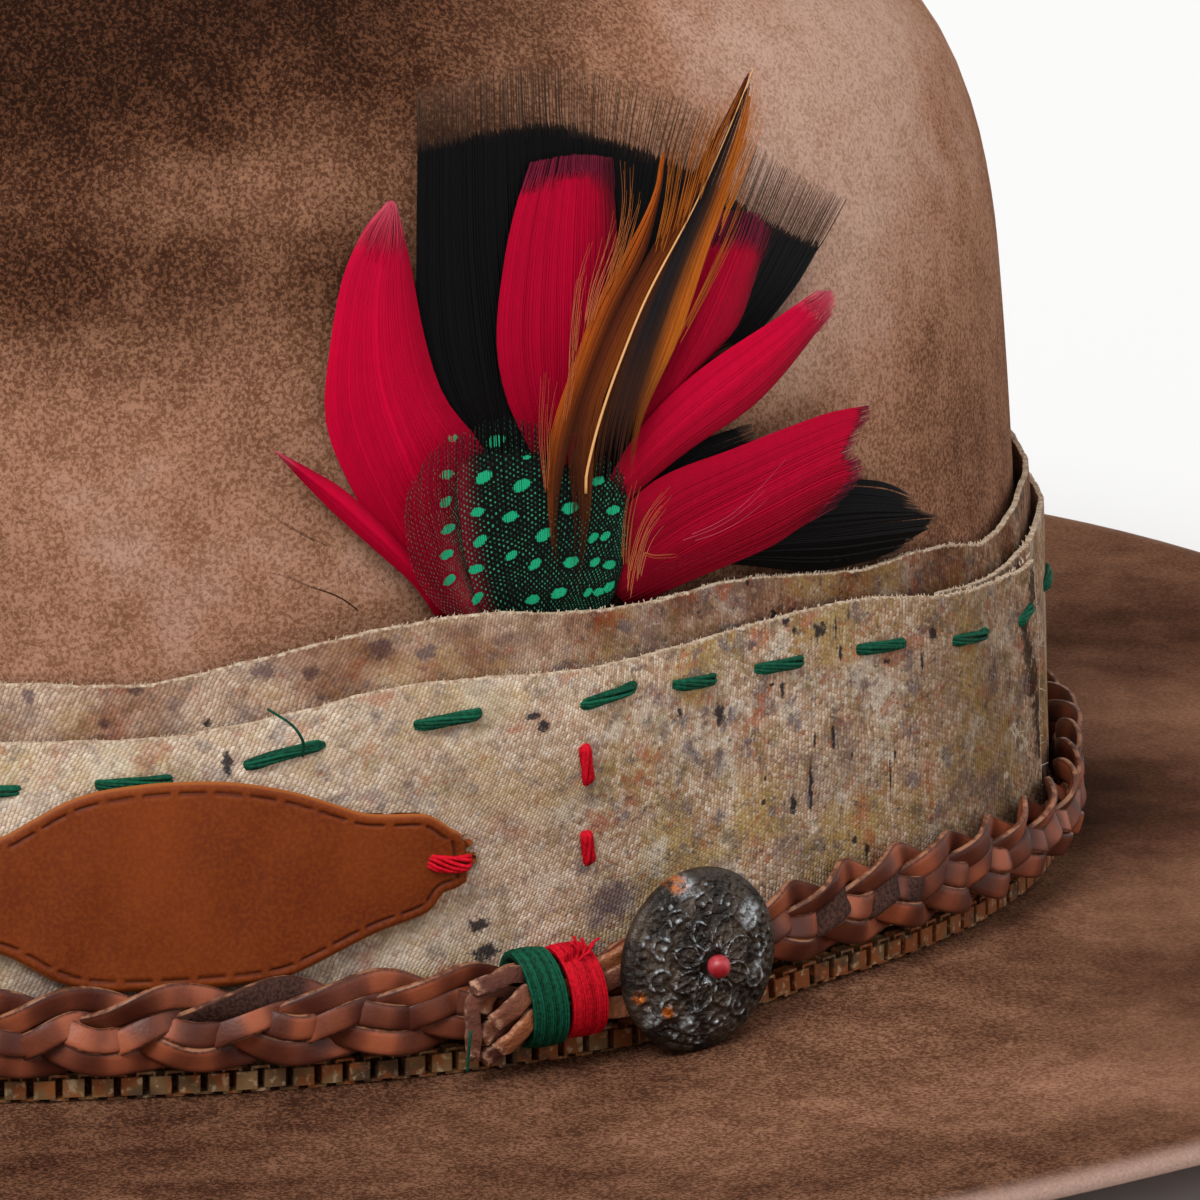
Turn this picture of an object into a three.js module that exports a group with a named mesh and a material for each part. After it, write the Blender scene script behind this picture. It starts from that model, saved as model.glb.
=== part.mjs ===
import * as THREE from 'three';

// Western fedora: one hollow felt crown and brim, a doubled canvas band, a plaited leather cord with a
// button and whipping, a box chain on the brim, a leather label and a fan of feathers.
// Millimetres. +Z up with the brim resting on z = 0, +Y to the back of the head, +X to the wearer's left.
// A place on the crown is given by three numbers: along, the way round the crown's base from the
// wearer's left towards the back; up, the way up the wall; and out, the distance from the felt.

// Felt body
const HEAD = { halfLength: 102.3, halfWidth: 86.5, squareness: 2.12 };
const FELT = 2.6;
const GAP = 0.3;
const CROWN = { foot: 5.5, side: 104, back: 93, front: 108, shoulder: 28, taper: 3.4, taperOver: 65 };
const CREASE = { y: 4, height: 85, span: 60 };
const PINCH = { depth: 18, y: -44, height: 84, spreadY: 40, spreadHeight: 17, clear: 8, full: 46 };
const BRIM = { width: 68, flat: 5, curl: 1.6, edgeRound: 0.7 };
const JOIN = { side: 4.5, back: 6.6, from: 0.6, to: 0.78 };
const SECTIONS = 52;

// Height of the brim's raw edge round one side, from the front (-90) to the back (90)
const BRIM_EDGE = [
  { at: -90, height: -0.2 },
  { at: -60, height: 4.2 },
  { at: -30, height: 8.0 },
  { at: 0, height: 9.0 },
  { at: 25, height: 9.0 },
  { at: 40, height: 10.2 },
  { at: 54, height: 8.8 },
  { at: 72, height: 3.6 },
  { at: 90, height: -0.6 },
];

// Band: two turns of canvas, the inner one showing above the outer
const CANVAS = 0.9;
const OUTER_TURN = GAP + CANVAS + 0.4;
const BAND_FOOT = 4.3;
const BAND_STEPS = 60;
const BAND_TOP = [
  { at: -60, inner: 36.4, outer: 31.6 },
  { at: -20, inner: 36.2, outer: 31.2 },
  { at: 4, inner: 36.1, outer: 31.2 },
  { at: 16, inner: 35.7, outer: 31.2 },
  { at: 22, inner: 36.8, outer: 31.9 },
  { at: 28, inner: 38.1, outer: 33.0 },
  { at: 36, inner: 39.9, outer: 34.9 },
  { at: 44, inner: 40.9, outer: 35.5 },
  { at: 52, inner: 40.2, outer: 35.4 },
  { at: 62, inner: 39.8, outer: 35.6 },
  { at: 72, inner: 39.8, outer: 35.8 },
  { at: 82, inner: 38.6, outer: 35.8 },
  { at: 90, inner: 37.7, outer: 35.2 },
  { at: 98, inner: 37.6, outer: 33.9 },
  { at: 106, inner: 36.8, outer: 33.0 },
  { at: 114, inner: 35.4, outer: 32.7 },
  { at: 130, inner: 36.8, outer: 33.4 },
  { at: 220, inner: 36.5, outer: 32.0 },
  { at: 400, inner: 36.8, outer: 32.4 },
  { at: 541, inner: 36.4, outer: 31.6 },
];
const BAND_ROWS = [BAND_FOOT, 16, 24, 30.4];
const LAP = { firstStep: 10, lastStep: 72, rise: 14, clear: 1 };
const TUCK = { along: 50, spread: 18, out: 4.7, from: 9, to: 36 };

// Leather label, half of its outline from the middle to the stepped end
const LABEL = { along: 19.5, up: 18.2, thick: 1.3 };
const LABEL_OUTLINE = [
  { at: 0, half: 9.1 },
  { at: 6, half: 8.9 },
  { at: 11.7, half: 7.8 },
  { at: 15.8, half: 5.6 },
  { at: 19.6, half: 5.4 },
  { at: 21, half: 4.6 },
  { at: 21.9, half: 3.6 },
  { at: 23.8, half: 3.0 },
  { at: 24.5, half: 1.2 },
];

// Plaited cord: where its middle lies, how far out, and its half sizes
const PLAIT_LOBE = 7.2;
const PLAIT_SWELL = 0.4;
const PLAIT_SIDES = 6;
const PLAIT = [
  { at: 65.4, up: 7.4, out: 4.5, high: 2.4, deep: 1.4 },
  { at: 72, up: 8.0, out: 4.6, high: 3.3, deep: 1.6 },
  { at: 86, up: 8.8, out: 4.6, high: 3.6, deep: 1.7 },
  { at: 106, up: 8.1, out: 5.5, high: 3.6, deep: 1.7 },
  { at: 122, up: 7.9, out: 5.6, high: 3.5, deep: 1.7 },
  { at: 136, up: 7.8, out: 4.5, high: 3.5, deep: 1.7 },
  { at: 220, up: 7.7, out: 4.5, high: 3.5, deep: 1.7 },
  { at: 300, up: 6.2, out: 4.5, high: 3.4, deep: 1.7 },
  { at: 450, up: 6.1, out: 4.5, high: 3.4, deep: 1.7 },
  { at: 570, up: 6.0, out: 4.6, high: 3.4, deep: 1.7 },
  { at: 594, up: 6.0, out: 5.1, high: 3.5, deep: 1.7 },
  { at: 639, up: 6.1, out: 5.1, high: 3.5, deep: 1.7 },
  { at: 646, up: 6.1, out: 4.9, high: 2.9, deep: 1.2 },
  { at: 654, up: 6.4, out: 4.9, high: 2.9, deep: 1.2 },
  { at: 660.3, up: 7.4, out: 4.6, high: 2.4, deep: 1.3 },
];

// Whipping: two thread sleeves round the plait and the folded ends that stand out of it
const WHIPPING = { out: 5.9, high: 3.9, deep: 2.5, wall: 0.7, steps: 16 };
const WHIPPINGS = [
  { name: 'thread_wrap_green', colour: 0x0e5a3c, from: 45.8, to: 49.1, up: 6.1 },
  { name: 'thread_wrap_red', colour: 0xc8102a, from: 49.4, to: 52.7, up: 6.3 },
];
const CUT_ENDS = [
  { at: 41.0, up: 5.1, out: 7.1, high: 3.8 },
  { at: 43.6, up: 5.5, out: 7.1, high: 3.0 },
  { at: 45.4, up: 6.0, out: 6.5, high: 2.1 },
  { at: 50, up: 6.2, out: 6.4, high: 2.0 },
  { at: 54.5, up: 6.6, out: 6.3, high: 1.8 },
];
const CUT_END_THICK = 1.1;

// Button with a cast flower, and the bead at its middle
const BUTTON = {
  along: 61.7, up: 7.95, out: 7, turned: -0.11, sides: 24,
  petals: 8, petalRise: 0.3, ropeRise: 0.08,
};
const BUTTON_PROFILE = [
  { radius: 1.5, height: -4.0, petal: 0, rope: 0 },
  { radius: 1.5, height: -0.5, petal: 0, rope: 0 },
  { radius: 7.5, height: 0.0, petal: 0, rope: 0 },
  { radius: 8.4, height: 0.8, petal: 0, rope: 1 },
  { radius: 8.15, height: 1.8, petal: 0, rope: 1 },
  { radius: 7.2, height: 1.9, petal: 0, rope: 0 },
  { radius: 5.6, height: 3.0, petal: 0.6, rope: 0 },
  { radius: 3.4, height: 3.9, petal: 1, rope: 0 },
  { radius: 1.7, height: 4.0, petal: 0.5, rope: 0 },
  { radius: 1.1, height: 3.6, petal: 0, rope: 0 },
];
const BEAD_RADIUS = 1.1;

// Chain on the brim: a plain ring of the chain's own height
const CHAIN = { out: 3.0, half: 1.18, lift: 1.5, steps: 84, sides: 8 };

// Feathers: thin blades in layers, each from its root to its tip by along, up and half width
const VANE = 0.4;
const LAYER = VANE + GAP;
const VANE_STRIP = 7;
const FEATHERS = [
  {
    name: 'feather_black_tail',
    colour: 0x0c0a0c,
    layer: 0,
    line: [
      { along: 53, up: 37.0, half: 1.5 },
      { along: 54, up: 46.0, half: 5.5 },
      { along: 57, up: 55.0, half: 11.0 },
      { along: 60, up: 64.0, half: 16.5 },
      { along: 62, up: 72.0, half: 19.5 },
      { along: 63, up: 79.0, half: 18.0 },
      { along: 64, up: 84.5, half: 12.0 },
    ],
  },
  {
    name: 'feather_black_side',
    colour: 0x0c0a0c,
    layer: 1,
    line: [
      { along: 61.5, up: 42.5, half: 1.0 },
      { along: 72, up: 43.8, half: 3.0 },
      { along: 82, up: 43.3, half: 3.4 },
      { along: 91, up: 42.3, half: 3.6 },
      { along: 97, up: 41.4, half: 2.6 },
      { along: 102, up: 40.4, half: 0.6 },
    ],
  },
  {
    name: 'feather_red_1',
    colour: 0xb5002b,
    layer: 1,
    line: [
      { along: 47.6, up: 37.5, half: 1.6 },
      { along: 44.4, up: 45.0, half: 4.4 },
      { along: 40.4, up: 53.5, half: 6.4 },
      { along: 38.0, up: 60.0, half: 6.1 },
      { along: 37.4, up: 67.0, half: 4.6 },
      { along: 38.4, up: 75.0, half: 1.6 },
    ],
  },
  {
    name: 'feather_red_sliver',
    colour: 0xb5002b,
    layer: 2,
    line: [
      { along: 42.5, up: 41.2, half: 1.6 },
      { along: 37.0, up: 47.6, half: 2.0 },
      { along: 32.6, up: 52.0, half: 1.3 },
      { along: 27.9, up: 55.4, half: 0.4 },
    ],
  },
  {
    name: 'feather_red_2',
    colour: 0xb5002b,
    layer: 1,
    line: [
      { along: 53.0, up: 37.5, half: 1.6 },
      { along: 54.6, up: 48.0, half: 3.4 },
      { along: 55.2, up: 57.0, half: 5.6 },
      { along: 55.8, up: 66.0, half: 6.7 },
      { along: 57.0, up: 74.0, half: 5.9 },
      { along: 57.8, up: 79.0, half: 4.4 },
    ],
  },
  {
    name: 'feather_red_3',
    colour: 0xb5002b,
    layer: 2,
    line: [
      { along: 57.0, up: 41.5, half: 1.2 },
      { along: 62.6, up: 52.0, half: 3.4 },
      { along: 68.4, up: 60.4, half: 4.6 },
      { along: 73.0, up: 66.4, half: 4.3 },
      { along: 76.6, up: 71.4, half: 2.6 },
    ],
  },
  {
    name: 'feather_red_4',
    colour: 0xb5002b,
    layer: 3,
    line: [
      { along: 56.0, up: 47.2, half: 1.4 },
      { along: 62.0, up: 52.0, half: 2.7 },
      { along: 69.0, up: 56.2, half: 3.6 },
      { along: 77.0, up: 59.8, half: 3.5 },
      { along: 85.0, up: 63.2, half: 1.2 },
    ],
  },
  {
    name: 'feather_red_5',
    colour: 0xb5002b,
    layer: 3,
    line: [
      { along: 56.4, up: 42.2, half: 2.0 },
      { along: 64.0, up: 44.8, half: 4.2 },
      { along: 73.0, up: 47.0, half: 4.8 },
      { along: 81.0, up: 48.9, half: 4.3 },
      { along: 89.2, up: 51.6, half: 1.4 },
    ],
  },
  {
    name: 'feather_guinea',
    colour: 0x0c2418,
    layer: 4,
    line: [
      { along: 49.6, up: 37.6, half: 6.8 },
      { along: 49.4, up: 44.0, half: 9.6 },
      { along: 49.0, up: 50.0, half: 10.0 },
      { along: 48.6, up: 54.6, half: 8.0 },
      { along: 48.4, up: 57.6, half: 4.0 },
    ],
  },
  {
    name: 'feather_hackle',
    colour: 0xb4601a,
    layer: 5,
    line: [
      { along: 52.6, up: 37.8, half: 1.0 },
      { along: 54.2, up: 48.0, half: 3.2 },
      { along: 57.0, up: 58.0, half: 4.4 },
      { along: 61.4, up: 66.4, half: 4.8 },
      { along: 67.6, up: 75.0, half: 3.2 },
      { along: 75.4, up: 85.2, half: 0.5 },
    ],
  },
];

const { clamp, lerp, radToDeg, smoothstep } = THREE.MathUtils;

// A column of a table at any place: a curve that passes through the rows
function read(rows, column, at) {
  const end = rows.length - 1;
  const place = clamp(at, rows[0].at, rows[end].at);
  const found = rows.findIndex((row) => row.at >= place);
  const i = clamp(found - 1, 0, end - 1);
  const [a, b] = [rows[i], rows[i + 1]];
  const slope = (j) => {
    const [low, high] = [rows[Math.max(j - 1, 0)], rows[Math.min(j + 1, end)]];
    return (high[column] - low[column]) / (high.at - low.at);
  };
  const span = b.at - a.at;
  const t = (place - a.at) / span;
  const bend = (1 - t) * (1 - t) * t * slope(i) - t * t * (1 - t) * slope(i + 1);
  return lerp(a[column], b[column], t * t * (3 - 2 * t)) + bend * span;
}

// Plan of the crown's base, grown by a distance all round
function oval(angle, grow) {
  const across = Math.abs(Math.cos(angle) / (HEAD.halfWidth + grow)) ** HEAD.squareness;
  const lengthways = Math.abs(Math.sin(angle) / (HEAD.halfLength + grow)) ** HEAD.squareness;
  const radius = (across + lengthways) ** (-1 / HEAD.squareness);
  return new THREE.Vector3(radius * Math.cos(angle), radius * Math.sin(angle), 0);
}

// The way round the crown's base, measured once in small steps
const ROUND_STEPS = 1440;
const round = [0];
for (let i = 1; i <= ROUND_STEPS; i += 1) {
  const [before, here] = [i - 1, i].map((j) => oval((2 * Math.PI * j) / ROUND_STEPS, 0));
  round.push(round[i - 1] + before.distanceTo(here));
}
const GIRTH = round[ROUND_STEPS];

function angleAt(along) {
  const turns = Math.floor(along / GIRTH);
  const rest = along - turns * GIRTH;
  const found = round.findIndex((length) => length > rest);
  const i = found - 1;
  const share = (rest - round[i]) / (round[found] - round[i]);
  return (2 * Math.PI * (i + share)) / ROUND_STEPS + 2 * Math.PI * turns;
}

// Crown: a wall that leans in, a round shoulder, and a top that sinks to the crease
function wallLean(up) {
  return -CROWN.taper * (up / CROWN.taperOver) ** 2;
}

function crownHeight(angle) {
  const [back, front] = [Math.max(Math.sin(angle), 0), Math.max(-Math.sin(angle), 0)];
  return CROWN.side + (CROWN.back - CROWN.side) * back ** 2 + (CROWN.front - CROWN.side) * front ** 2;
}

function wallHeight(angle) {
  return crownHeight(angle) - CROWN.shoulder;
}

function pinched(point) {
  const height = point.z - CROWN.foot;
  const near = ((point.y - PINCH.y) / PINCH.spreadY) ** 2 + ((height - PINCH.height) / PINCH.spreadHeight) ** 2;
  const push = PINCH.depth * Math.exp(-near) * smoothstep(Math.abs(point.x), PINCH.clear, PINCH.full);
  point.x -= Math.sign(point.x) * push;
  return point;
}

function crownPoint(angle, up) {
  const wall = wallHeight(angle);
  const turn = clamp((up - wall) / CROWN.shoulder, 0, Math.PI / 2);
  const grow = wallLean(Math.min(up, wall)) - CROWN.shoulder * (1 - Math.cos(turn));
  const point = oval(angle, grow);
  point.z = CROWN.foot + Math.min(up, wall) + CROWN.shoulder * Math.sin(turn);
  const inward = clamp((up - wall - (CROWN.shoulder * Math.PI) / 2) / CREASE.span, 0, 1);
  const middle = new THREE.Vector3(0, CREASE.y, CROWN.foot + CREASE.height);
  point.z = lerp(point.z, middle.z, smoothstep(inward, 0, 1));
  point.x = lerp(point.x, middle.x, inward);
  point.y = lerp(point.y, middle.y, inward);
  return pinched(point);
}

function crownNormal(angle, up) {
  const [turn, climb] = [0.002, 0.2];
  const sweep = crownPoint(angle + turn, up).sub(crownPoint(angle - turn, up));
  const rise = crownPoint(angle, up + climb).sub(crownPoint(angle, up - climb));
  return sweep.cross(rise).normalize();
}

// A place on the crown's wall, as the pieces on it are given
function onWall(along, up, out) {
  const angle = angleAt(along);
  const point = oval(angle, wallLean(up) + out);
  point.z = CROWN.foot + up;
  return point;
}

// Brim: nearly flat by the crown, curled up at the sides, and flattened where it rests
function joinHeight(angle) {
  return lerp(JOIN.side, JOIN.back, smoothstep(Math.sin(angle), JOIN.from, JOIN.to));
}

function edgeHeight(angle) {
  const fromFront = radToDeg(Math.asin(clamp(Math.sin(angle), -1, 1)));
  return read(BRIM_EDGE, 'height', fromFront);
}

function brimTop(angle, out) {
  const share = Math.max(out - BRIM.flat, 0) / (BRIM.width - BRIM.flat);
  const height = lerp(joinHeight(angle), edgeHeight(angle), share ** BRIM.curl);
  return Math.max(height, FELT);
}

function brimPoint(angle, out, drop) {
  const point = oval(angle, out);
  point.z = brimTop(angle, out) - drop;
  return point;
}

// A closed body from rings of points. Its ends are fans round a middle point, or it runs back to its start.
function body(name, rings, colour, roughness, metalness, isLoop = false) {
  const sides = rings[0].length;
  const positions = rings.flat().flatMap((point) => point.toArray());
  const index = [];
  const joins = isLoop ? rings.length : rings.length - 1;
  for (let i = 0; i < joins; i += 1) {
    for (let j = 0; j < sides; j += 1) {
      const [here, next] = [i * sides, ((i + 1) % rings.length) * sides];
      const k = (j + 1) % sides;
      index.push(here + j, here + k, next + k, here + j, next + k, next + j);
    }
  }
  if (!isLoop) {
    for (const [ring, isLast] of [[0, false], [rings.length - 1, true]]) {
      const middle = positions.length / 3;
      const centre = new THREE.Vector3();
      rings[ring].forEach((point) => centre.addScaledVector(point, 1 / sides));
      positions.push(...centre.toArray());
      for (let j = 0; j < sides; j += 1) {
        const [a, b] = [ring * sides + j, ring * sides + ((j + 1) % sides)];
        index.push(...(isLast ? [a, b, middle] : [b, a, middle]));
      }
    }
  }
  const corner = (i) => new THREE.Vector3().fromArray(positions, 3 * index[i]);
  let volume = 0;
  for (let i = 0; i < index.length; i += 3) {
    volume += corner(i).dot(corner(i + 1).cross(corner(i + 2))) / 6;
  }
  const geometry = new THREE.BufferGeometry();
  geometry.setAttribute('position', new THREE.Float32BufferAttribute(positions, 3));
  geometry.setIndex(volume < 0 ? index.reverse() : index);
  geometry.computeVertexNormals();
  const material = new THREE.MeshStandardMaterial({ color: colour, roughness, metalness });
  const mesh = new THREE.Mesh(geometry, material);
  mesh.name = name;
  return mesh;
}

// Felt: rings from the crease down the outside, over the brim's edge and up the inside
const WALL_ROWS = [0.08, 0.26, 0.45, 0.62, 0.76, 0.88, 1];
const SHOULDER_ROWS = [0.33, 0.67, 1];
const CREASE_ROWS = [0.35, 0.75];
const BRIM_ROWS = [2.4, 8, 21, 35, 48, 59, BRIM.width - BRIM.edgeRound];
const JOIN_FILLET = 2.2;

function crownRows(angle) {
  const wall = wallHeight(angle);
  const rim = wall + (CROWN.shoulder * Math.PI) / 2;
  return [
    ...WALL_ROWS.map((share) => wall * share),
    ...SHOULDER_ROWS.map((share) => lerp(wall, rim, share)),
    ...CREASE_ROWS.map((share) => rim + CREASE.span * share),
  ];
}

function feltBody() {
  const sections = Array.from({ length: SECTIONS }, (_, j) => {
    const angle = (2 * Math.PI * j) / SECTIONS;
    const rows = crownRows(angle);
    const outside = rows.map((up) => crownPoint(angle, up));
    const inside = rows.map((up) => crownPoint(angle, up).addScaledVector(crownNormal(angle, up), -FELT));
    const join = onBase(angle, 0, joinHeight(angle) + JOIN_FILLET);
    const foot = onBase(angle, -FELT, joinHeight(angle) - FELT);
    const top = BRIM_ROWS.map((out) => brimPoint(angle, out, 0));
    const edge = brimPoint(angle, BRIM.width, FELT / 2);
    const under = BRIM_ROWS.map((out) => brimPoint(angle, out, FELT));
    return [...outside.reverse(), join, ...top, edge, ...under.reverse(), foot, ...inside];
  });
  const rings = sections[0].map((_, i) => sections.map((section) => section[i]));
  return body('felt_body', rings, 0x7a5240, 0.95, 0);
}

function onBase(angle, out, height) {
  const point = oval(angle, out);
  point.z = height;
  return point;
}

// Canvas band: it stands out over the feathers' roots, and the outer turn ends over its own start
function tuck(along, up) {
  const place = along - GIRTH * Math.round((along - TUCK.along) / GIRTH);
  const near = Math.exp(-(((place - TUCK.along) / TUCK.spread) ** 2));
  return TUCK.out * near * smoothstep(up, TUCK.from, TUCK.to);
}

function bandTop(column, along) {
  const first = BAND_TOP[0].at;
  const place = along - GIRTH * Math.floor((along - first) / GIRTH);
  return read(BAND_TOP, column, place);
}

function bandRing(column, along, out) {
  const heights = [...BAND_ROWS, bandTop(column, along)];
  const face = (extra) => heights.map((up) => onWall(along, up, out + extra + tuck(along, up)));
  return [...face(0), ...face(CANVAS).reverse()];
}

function bandInner() {
  const rings = Array.from({ length: BAND_STEPS }, (_, i) => bandRing('inner', (GIRTH * i) / BAND_STEPS, GAP));
  return body('band_inner', rings, 0xa08468, 0.95, 0, true);
}

function bandOuter() {
  const over = OUTER_TURN + CANVAS + GAP;
  const step = GIRTH / BAND_STEPS;
  const lapStart = GIRTH + LAP.firstStep * step;
  const rings = Array.from({ length: LAP.lastStep - LAP.firstStep + 1 }, (_, i) => {
    const along = (LAP.firstStep + i) * step;
    const lift = smoothstep(along, lapStart - LAP.rise, lapStart - LAP.clear);
    return bandRing('outer', along, lerp(OUTER_TURN, over, lift));
  });
  return body('band_outer', rings, 0xb9a68c, 0.95, 0);
}

// Label: a flat leather tab with stepped ends, sewn on the outer turn
function leatherLabel() {
  const out = OUTER_TURN + CANVAS + GAP;
  const places = [...LABEL_OUTLINE].reverse().map((row) => ({ at: -row.at, half: row.half }));
  const rings = [...places, ...LABEL_OUTLINE.slice(1)].map((row) => {
    const along = LABEL.along + row.at;
    const heights = [-row.half, 0, row.half].map((half) => LABEL.up + half);
    const face = (extra) => heights.map((up) => onWall(along, up, out + extra + tuck(along, up)));
    return [...face(0), ...face(LABEL.thick).reverse()];
  });
  return body('leather_label', rings, 0x8a3f17, 0.6, 0);
}

// Plait: an oval section whose upper and lower edges swell in turn where the strands turn over
function leatherPlait() {
  const [first, last] = [PLAIT[0].at, PLAIT[PLAIT.length - 1].at];
  const steps = Math.round((2 * (last - first)) / PLAIT_LOBE);
  const rings = Array.from({ length: steps + 1 }, (_, i) => {
    const along = lerp(first, last, i / steps);
    const [up, out, high, deep] = ['up', 'out', 'high', 'deep'].map((column) => read(PLAIT, column, along));
    const swell = i % 2 === 0 ? PLAIT_SWELL : -PLAIT_SWELL;
    return Array.from({ length: PLAIT_SIDES }, (__, j) => {
      const turn = (2 * Math.PI * j) / PLAIT_SIDES;
      const reach = high + swell * Math.sign(Math.cos(turn));
      return onWall(along, up + reach * Math.cos(turn), out + deep * Math.sin(turn));
    });
  });
  return body('leather_plait', rings, 0x7b4433, 0.55, 0);
}

function cutEnds() {
  const rings = CUT_ENDS.map((row) => {
    const face = (extra) => [-1, 0, 1].map((side) => onWall(row.at, row.up + side * row.high, row.out + extra));
    return [...face(0), ...face(CUT_END_THICK).reverse()];
  });
  return body('plait_cut_ends', rings, 0x3a2422, 0.8, 0);
}

function whipping({ name, colour, from, to, up }) {
  const rings = Array.from({ length: WHIPPING.steps }, (_, i) => {
    const turn = (2 * Math.PI * i) / WHIPPING.steps;
    const corner = (along, grow) => {
      const high = (WHIPPING.high + grow) * Math.cos(turn);
      const deep = (WHIPPING.deep + grow) * Math.sin(turn);
      return onWall(along, up + high, WHIPPING.out + deep);
    };
    return [corner(from, 0), corner(to, 0), corner(to, WHIPPING.wall), corner(from, WHIPPING.wall)];
  });
  return body(name, rings, colour, 0.6, 0, true);
}

// Button: turned on its own axis, with petals and a roped rim raised on it. It hangs turned a little to
// the front.
function button() {
  const rings = BUTTON_PROFILE.map((row) =>
    Array.from({ length: BUTTON.sides }, (_, j) => {
      const turn = (2 * Math.PI * j) / BUTTON.sides;
      const petal = row.petal * BUTTON.petalRise * Math.cos(BUTTON.petals * turn);
      const rope = row.rope * BUTTON.ropeRise * Math.cos((BUTTON.sides / 2) * turn);
      const radius = row.radius + rope;
      return new THREE.Vector3(radius * Math.cos(turn), radius * Math.sin(turn), row.height + petal);
    }),
  );
  const mesh = body('button', rings, 0x3b3833, 0.45, 0.8);
  const bead = new THREE.Mesh(beadGeometry(), new THREE.MeshStandardMaterial({ color: 0xc23a45, roughness: 0.5 }));
  bead.name = 'button_bead';
  bead.position.z = BUTTON_PROFILE[BUTTON_PROFILE.length - 1].height + GAP + BEAD_RADIUS;
  const group = new THREE.Group();
  group.add(mesh, bead);
  const place = onWall(BUTTON.along, BUTTON.up, BUTTON.out);
  const inner = onWall(BUTTON.along, BUTTON.up, 0);
  const upright = new THREE.Vector3(0, 0, 1);
  const outward = place.clone().sub(inner).setZ(0).normalize().applyAxisAngle(upright, BUTTON.turned);
  group.position.copy(place);
  group.quaternion.setFromUnitVectors(upright, outward);
  return group;
}

function beadGeometry() {
  const [sides, rows] = [12, 6];
  const rings = Array.from({ length: rows - 1 }, (_, i) => {
    const tilt = (Math.PI * (i + 1)) / rows;
    return Array.from({ length: sides }, (__, j) =>
      new THREE.Vector3().setFromSphericalCoords(BEAD_RADIUS, tilt, (2 * Math.PI * j) / sides),
    );
  });
  return body('bead', rings, 0xffffff, 1, 0).geometry;
}

// Chain: it lies on the brim, close round the foot of the crown
function boxChain() {
  const rings = Array.from({ length: CHAIN.steps }, (_, i) => {
    const angle = angleAt((GIRTH * i) / CHAIN.steps);
    const centre = onBase(angle, CHAIN.out, brimTop(angle, CHAIN.out) + CHAIN.lift);
    const outward = new THREE.Vector3(centre.x, centre.y, 0).normalize();
    return Array.from({ length: CHAIN.sides }, (__, j) => {
      const turn = (2 * Math.PI * (j + 0.5)) / CHAIN.sides;
      return centre
        .clone()
        .addScaledVector(outward, CHAIN.half * Math.cos(turn))
        .add(new THREE.Vector3(0, 0, CHAIN.half * Math.sin(turn)));
    });
  });
  return body('box_chain', rings, 0x7a6a45, 0.5, 0.8, true);
}

// Feather: a thin blade that stands straight up the wall and clear of the shoulder
function feather({ name, colour, layer, line }) {
  const out = VANE + layer * LAYER;
  const strips = 2 * Math.ceil(Math.max(...line.map((row) => row.half)) / VANE_STRIP);
  const shares = Array.from({ length: strips + 1 }, (_, i) => (2 * i) / strips - 1);
  const rings = line.map((row, i) => {
    const before = line[Math.max(i - 1, 0)];
    const after = line[Math.min(i + 1, line.length - 1)];
    const way = new THREE.Vector2(after.along - before.along, after.up - before.up).normalize();
    const face = (extra) =>
      shares.map((share) => {
        const reach = share * row.half;
        return onWall(row.along + reach * way.y, row.up - reach * way.x, out + extra);
      });
    return [...face(0), ...face(VANE).reverse()];
  });
  return body(name, rings, colour, 0.7, 0);
}

const group = new THREE.Group();
group.add(feltBody(), bandInner(), bandOuter(), leatherLabel(), leatherPlait(), cutEnds());
group.add(...WHIPPINGS.map(whipping), button(), boxChain(), ...FEATHERS.map(feather));

export default group;
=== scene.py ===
import math

import bpy
import numpy as np
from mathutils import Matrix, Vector


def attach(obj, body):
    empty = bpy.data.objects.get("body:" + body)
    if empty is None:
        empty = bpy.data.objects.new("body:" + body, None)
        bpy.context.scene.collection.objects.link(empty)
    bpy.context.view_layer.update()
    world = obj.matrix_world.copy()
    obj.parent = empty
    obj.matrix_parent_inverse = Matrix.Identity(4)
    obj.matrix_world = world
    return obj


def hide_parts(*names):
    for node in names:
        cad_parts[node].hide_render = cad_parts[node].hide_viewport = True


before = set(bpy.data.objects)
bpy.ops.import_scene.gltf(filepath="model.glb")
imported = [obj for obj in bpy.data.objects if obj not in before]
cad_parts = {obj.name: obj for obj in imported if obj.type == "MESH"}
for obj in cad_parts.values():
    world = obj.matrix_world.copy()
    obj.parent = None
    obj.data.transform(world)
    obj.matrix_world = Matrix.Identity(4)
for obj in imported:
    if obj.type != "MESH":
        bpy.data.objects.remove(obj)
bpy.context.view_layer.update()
MM = 0.001

# Studio: the camera stands at the photograph's angle, close to the wearer's left side, over a plain pale
# floor. The light is a soft white sky, a broad key from the upper left and a weaker fill from the right.
CAMERA = {
    "target": (0.080, 0.05569, 0.0467), "distance": 0.750,
    "azimuth": 86.0, "elevation": 13.5, "lens": 256.37,
}
bpy.context.scene.view_settings.view_transform = "Standard"

turn = math.radians(CAMERA["azimuth"])
rise = math.radians(CAMERA["elevation"])
back = Vector((math.sin(turn) * math.cos(rise), -math.cos(turn) * math.cos(rise), math.sin(rise)))
bpy.ops.object.camera_add(location=Vector(CAMERA["target"]) + back * CAMERA["distance"])
camera = bpy.context.object
camera.name = "camera"
camera.rotation_euler = (-back).to_track_quat("-Z", "Y").to_euler()
camera.data.lens = CAMERA["lens"]
camera.data.clip_start = 0.01
camera.data.clip_end = 100
bpy.context.scene.camera = camera

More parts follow.
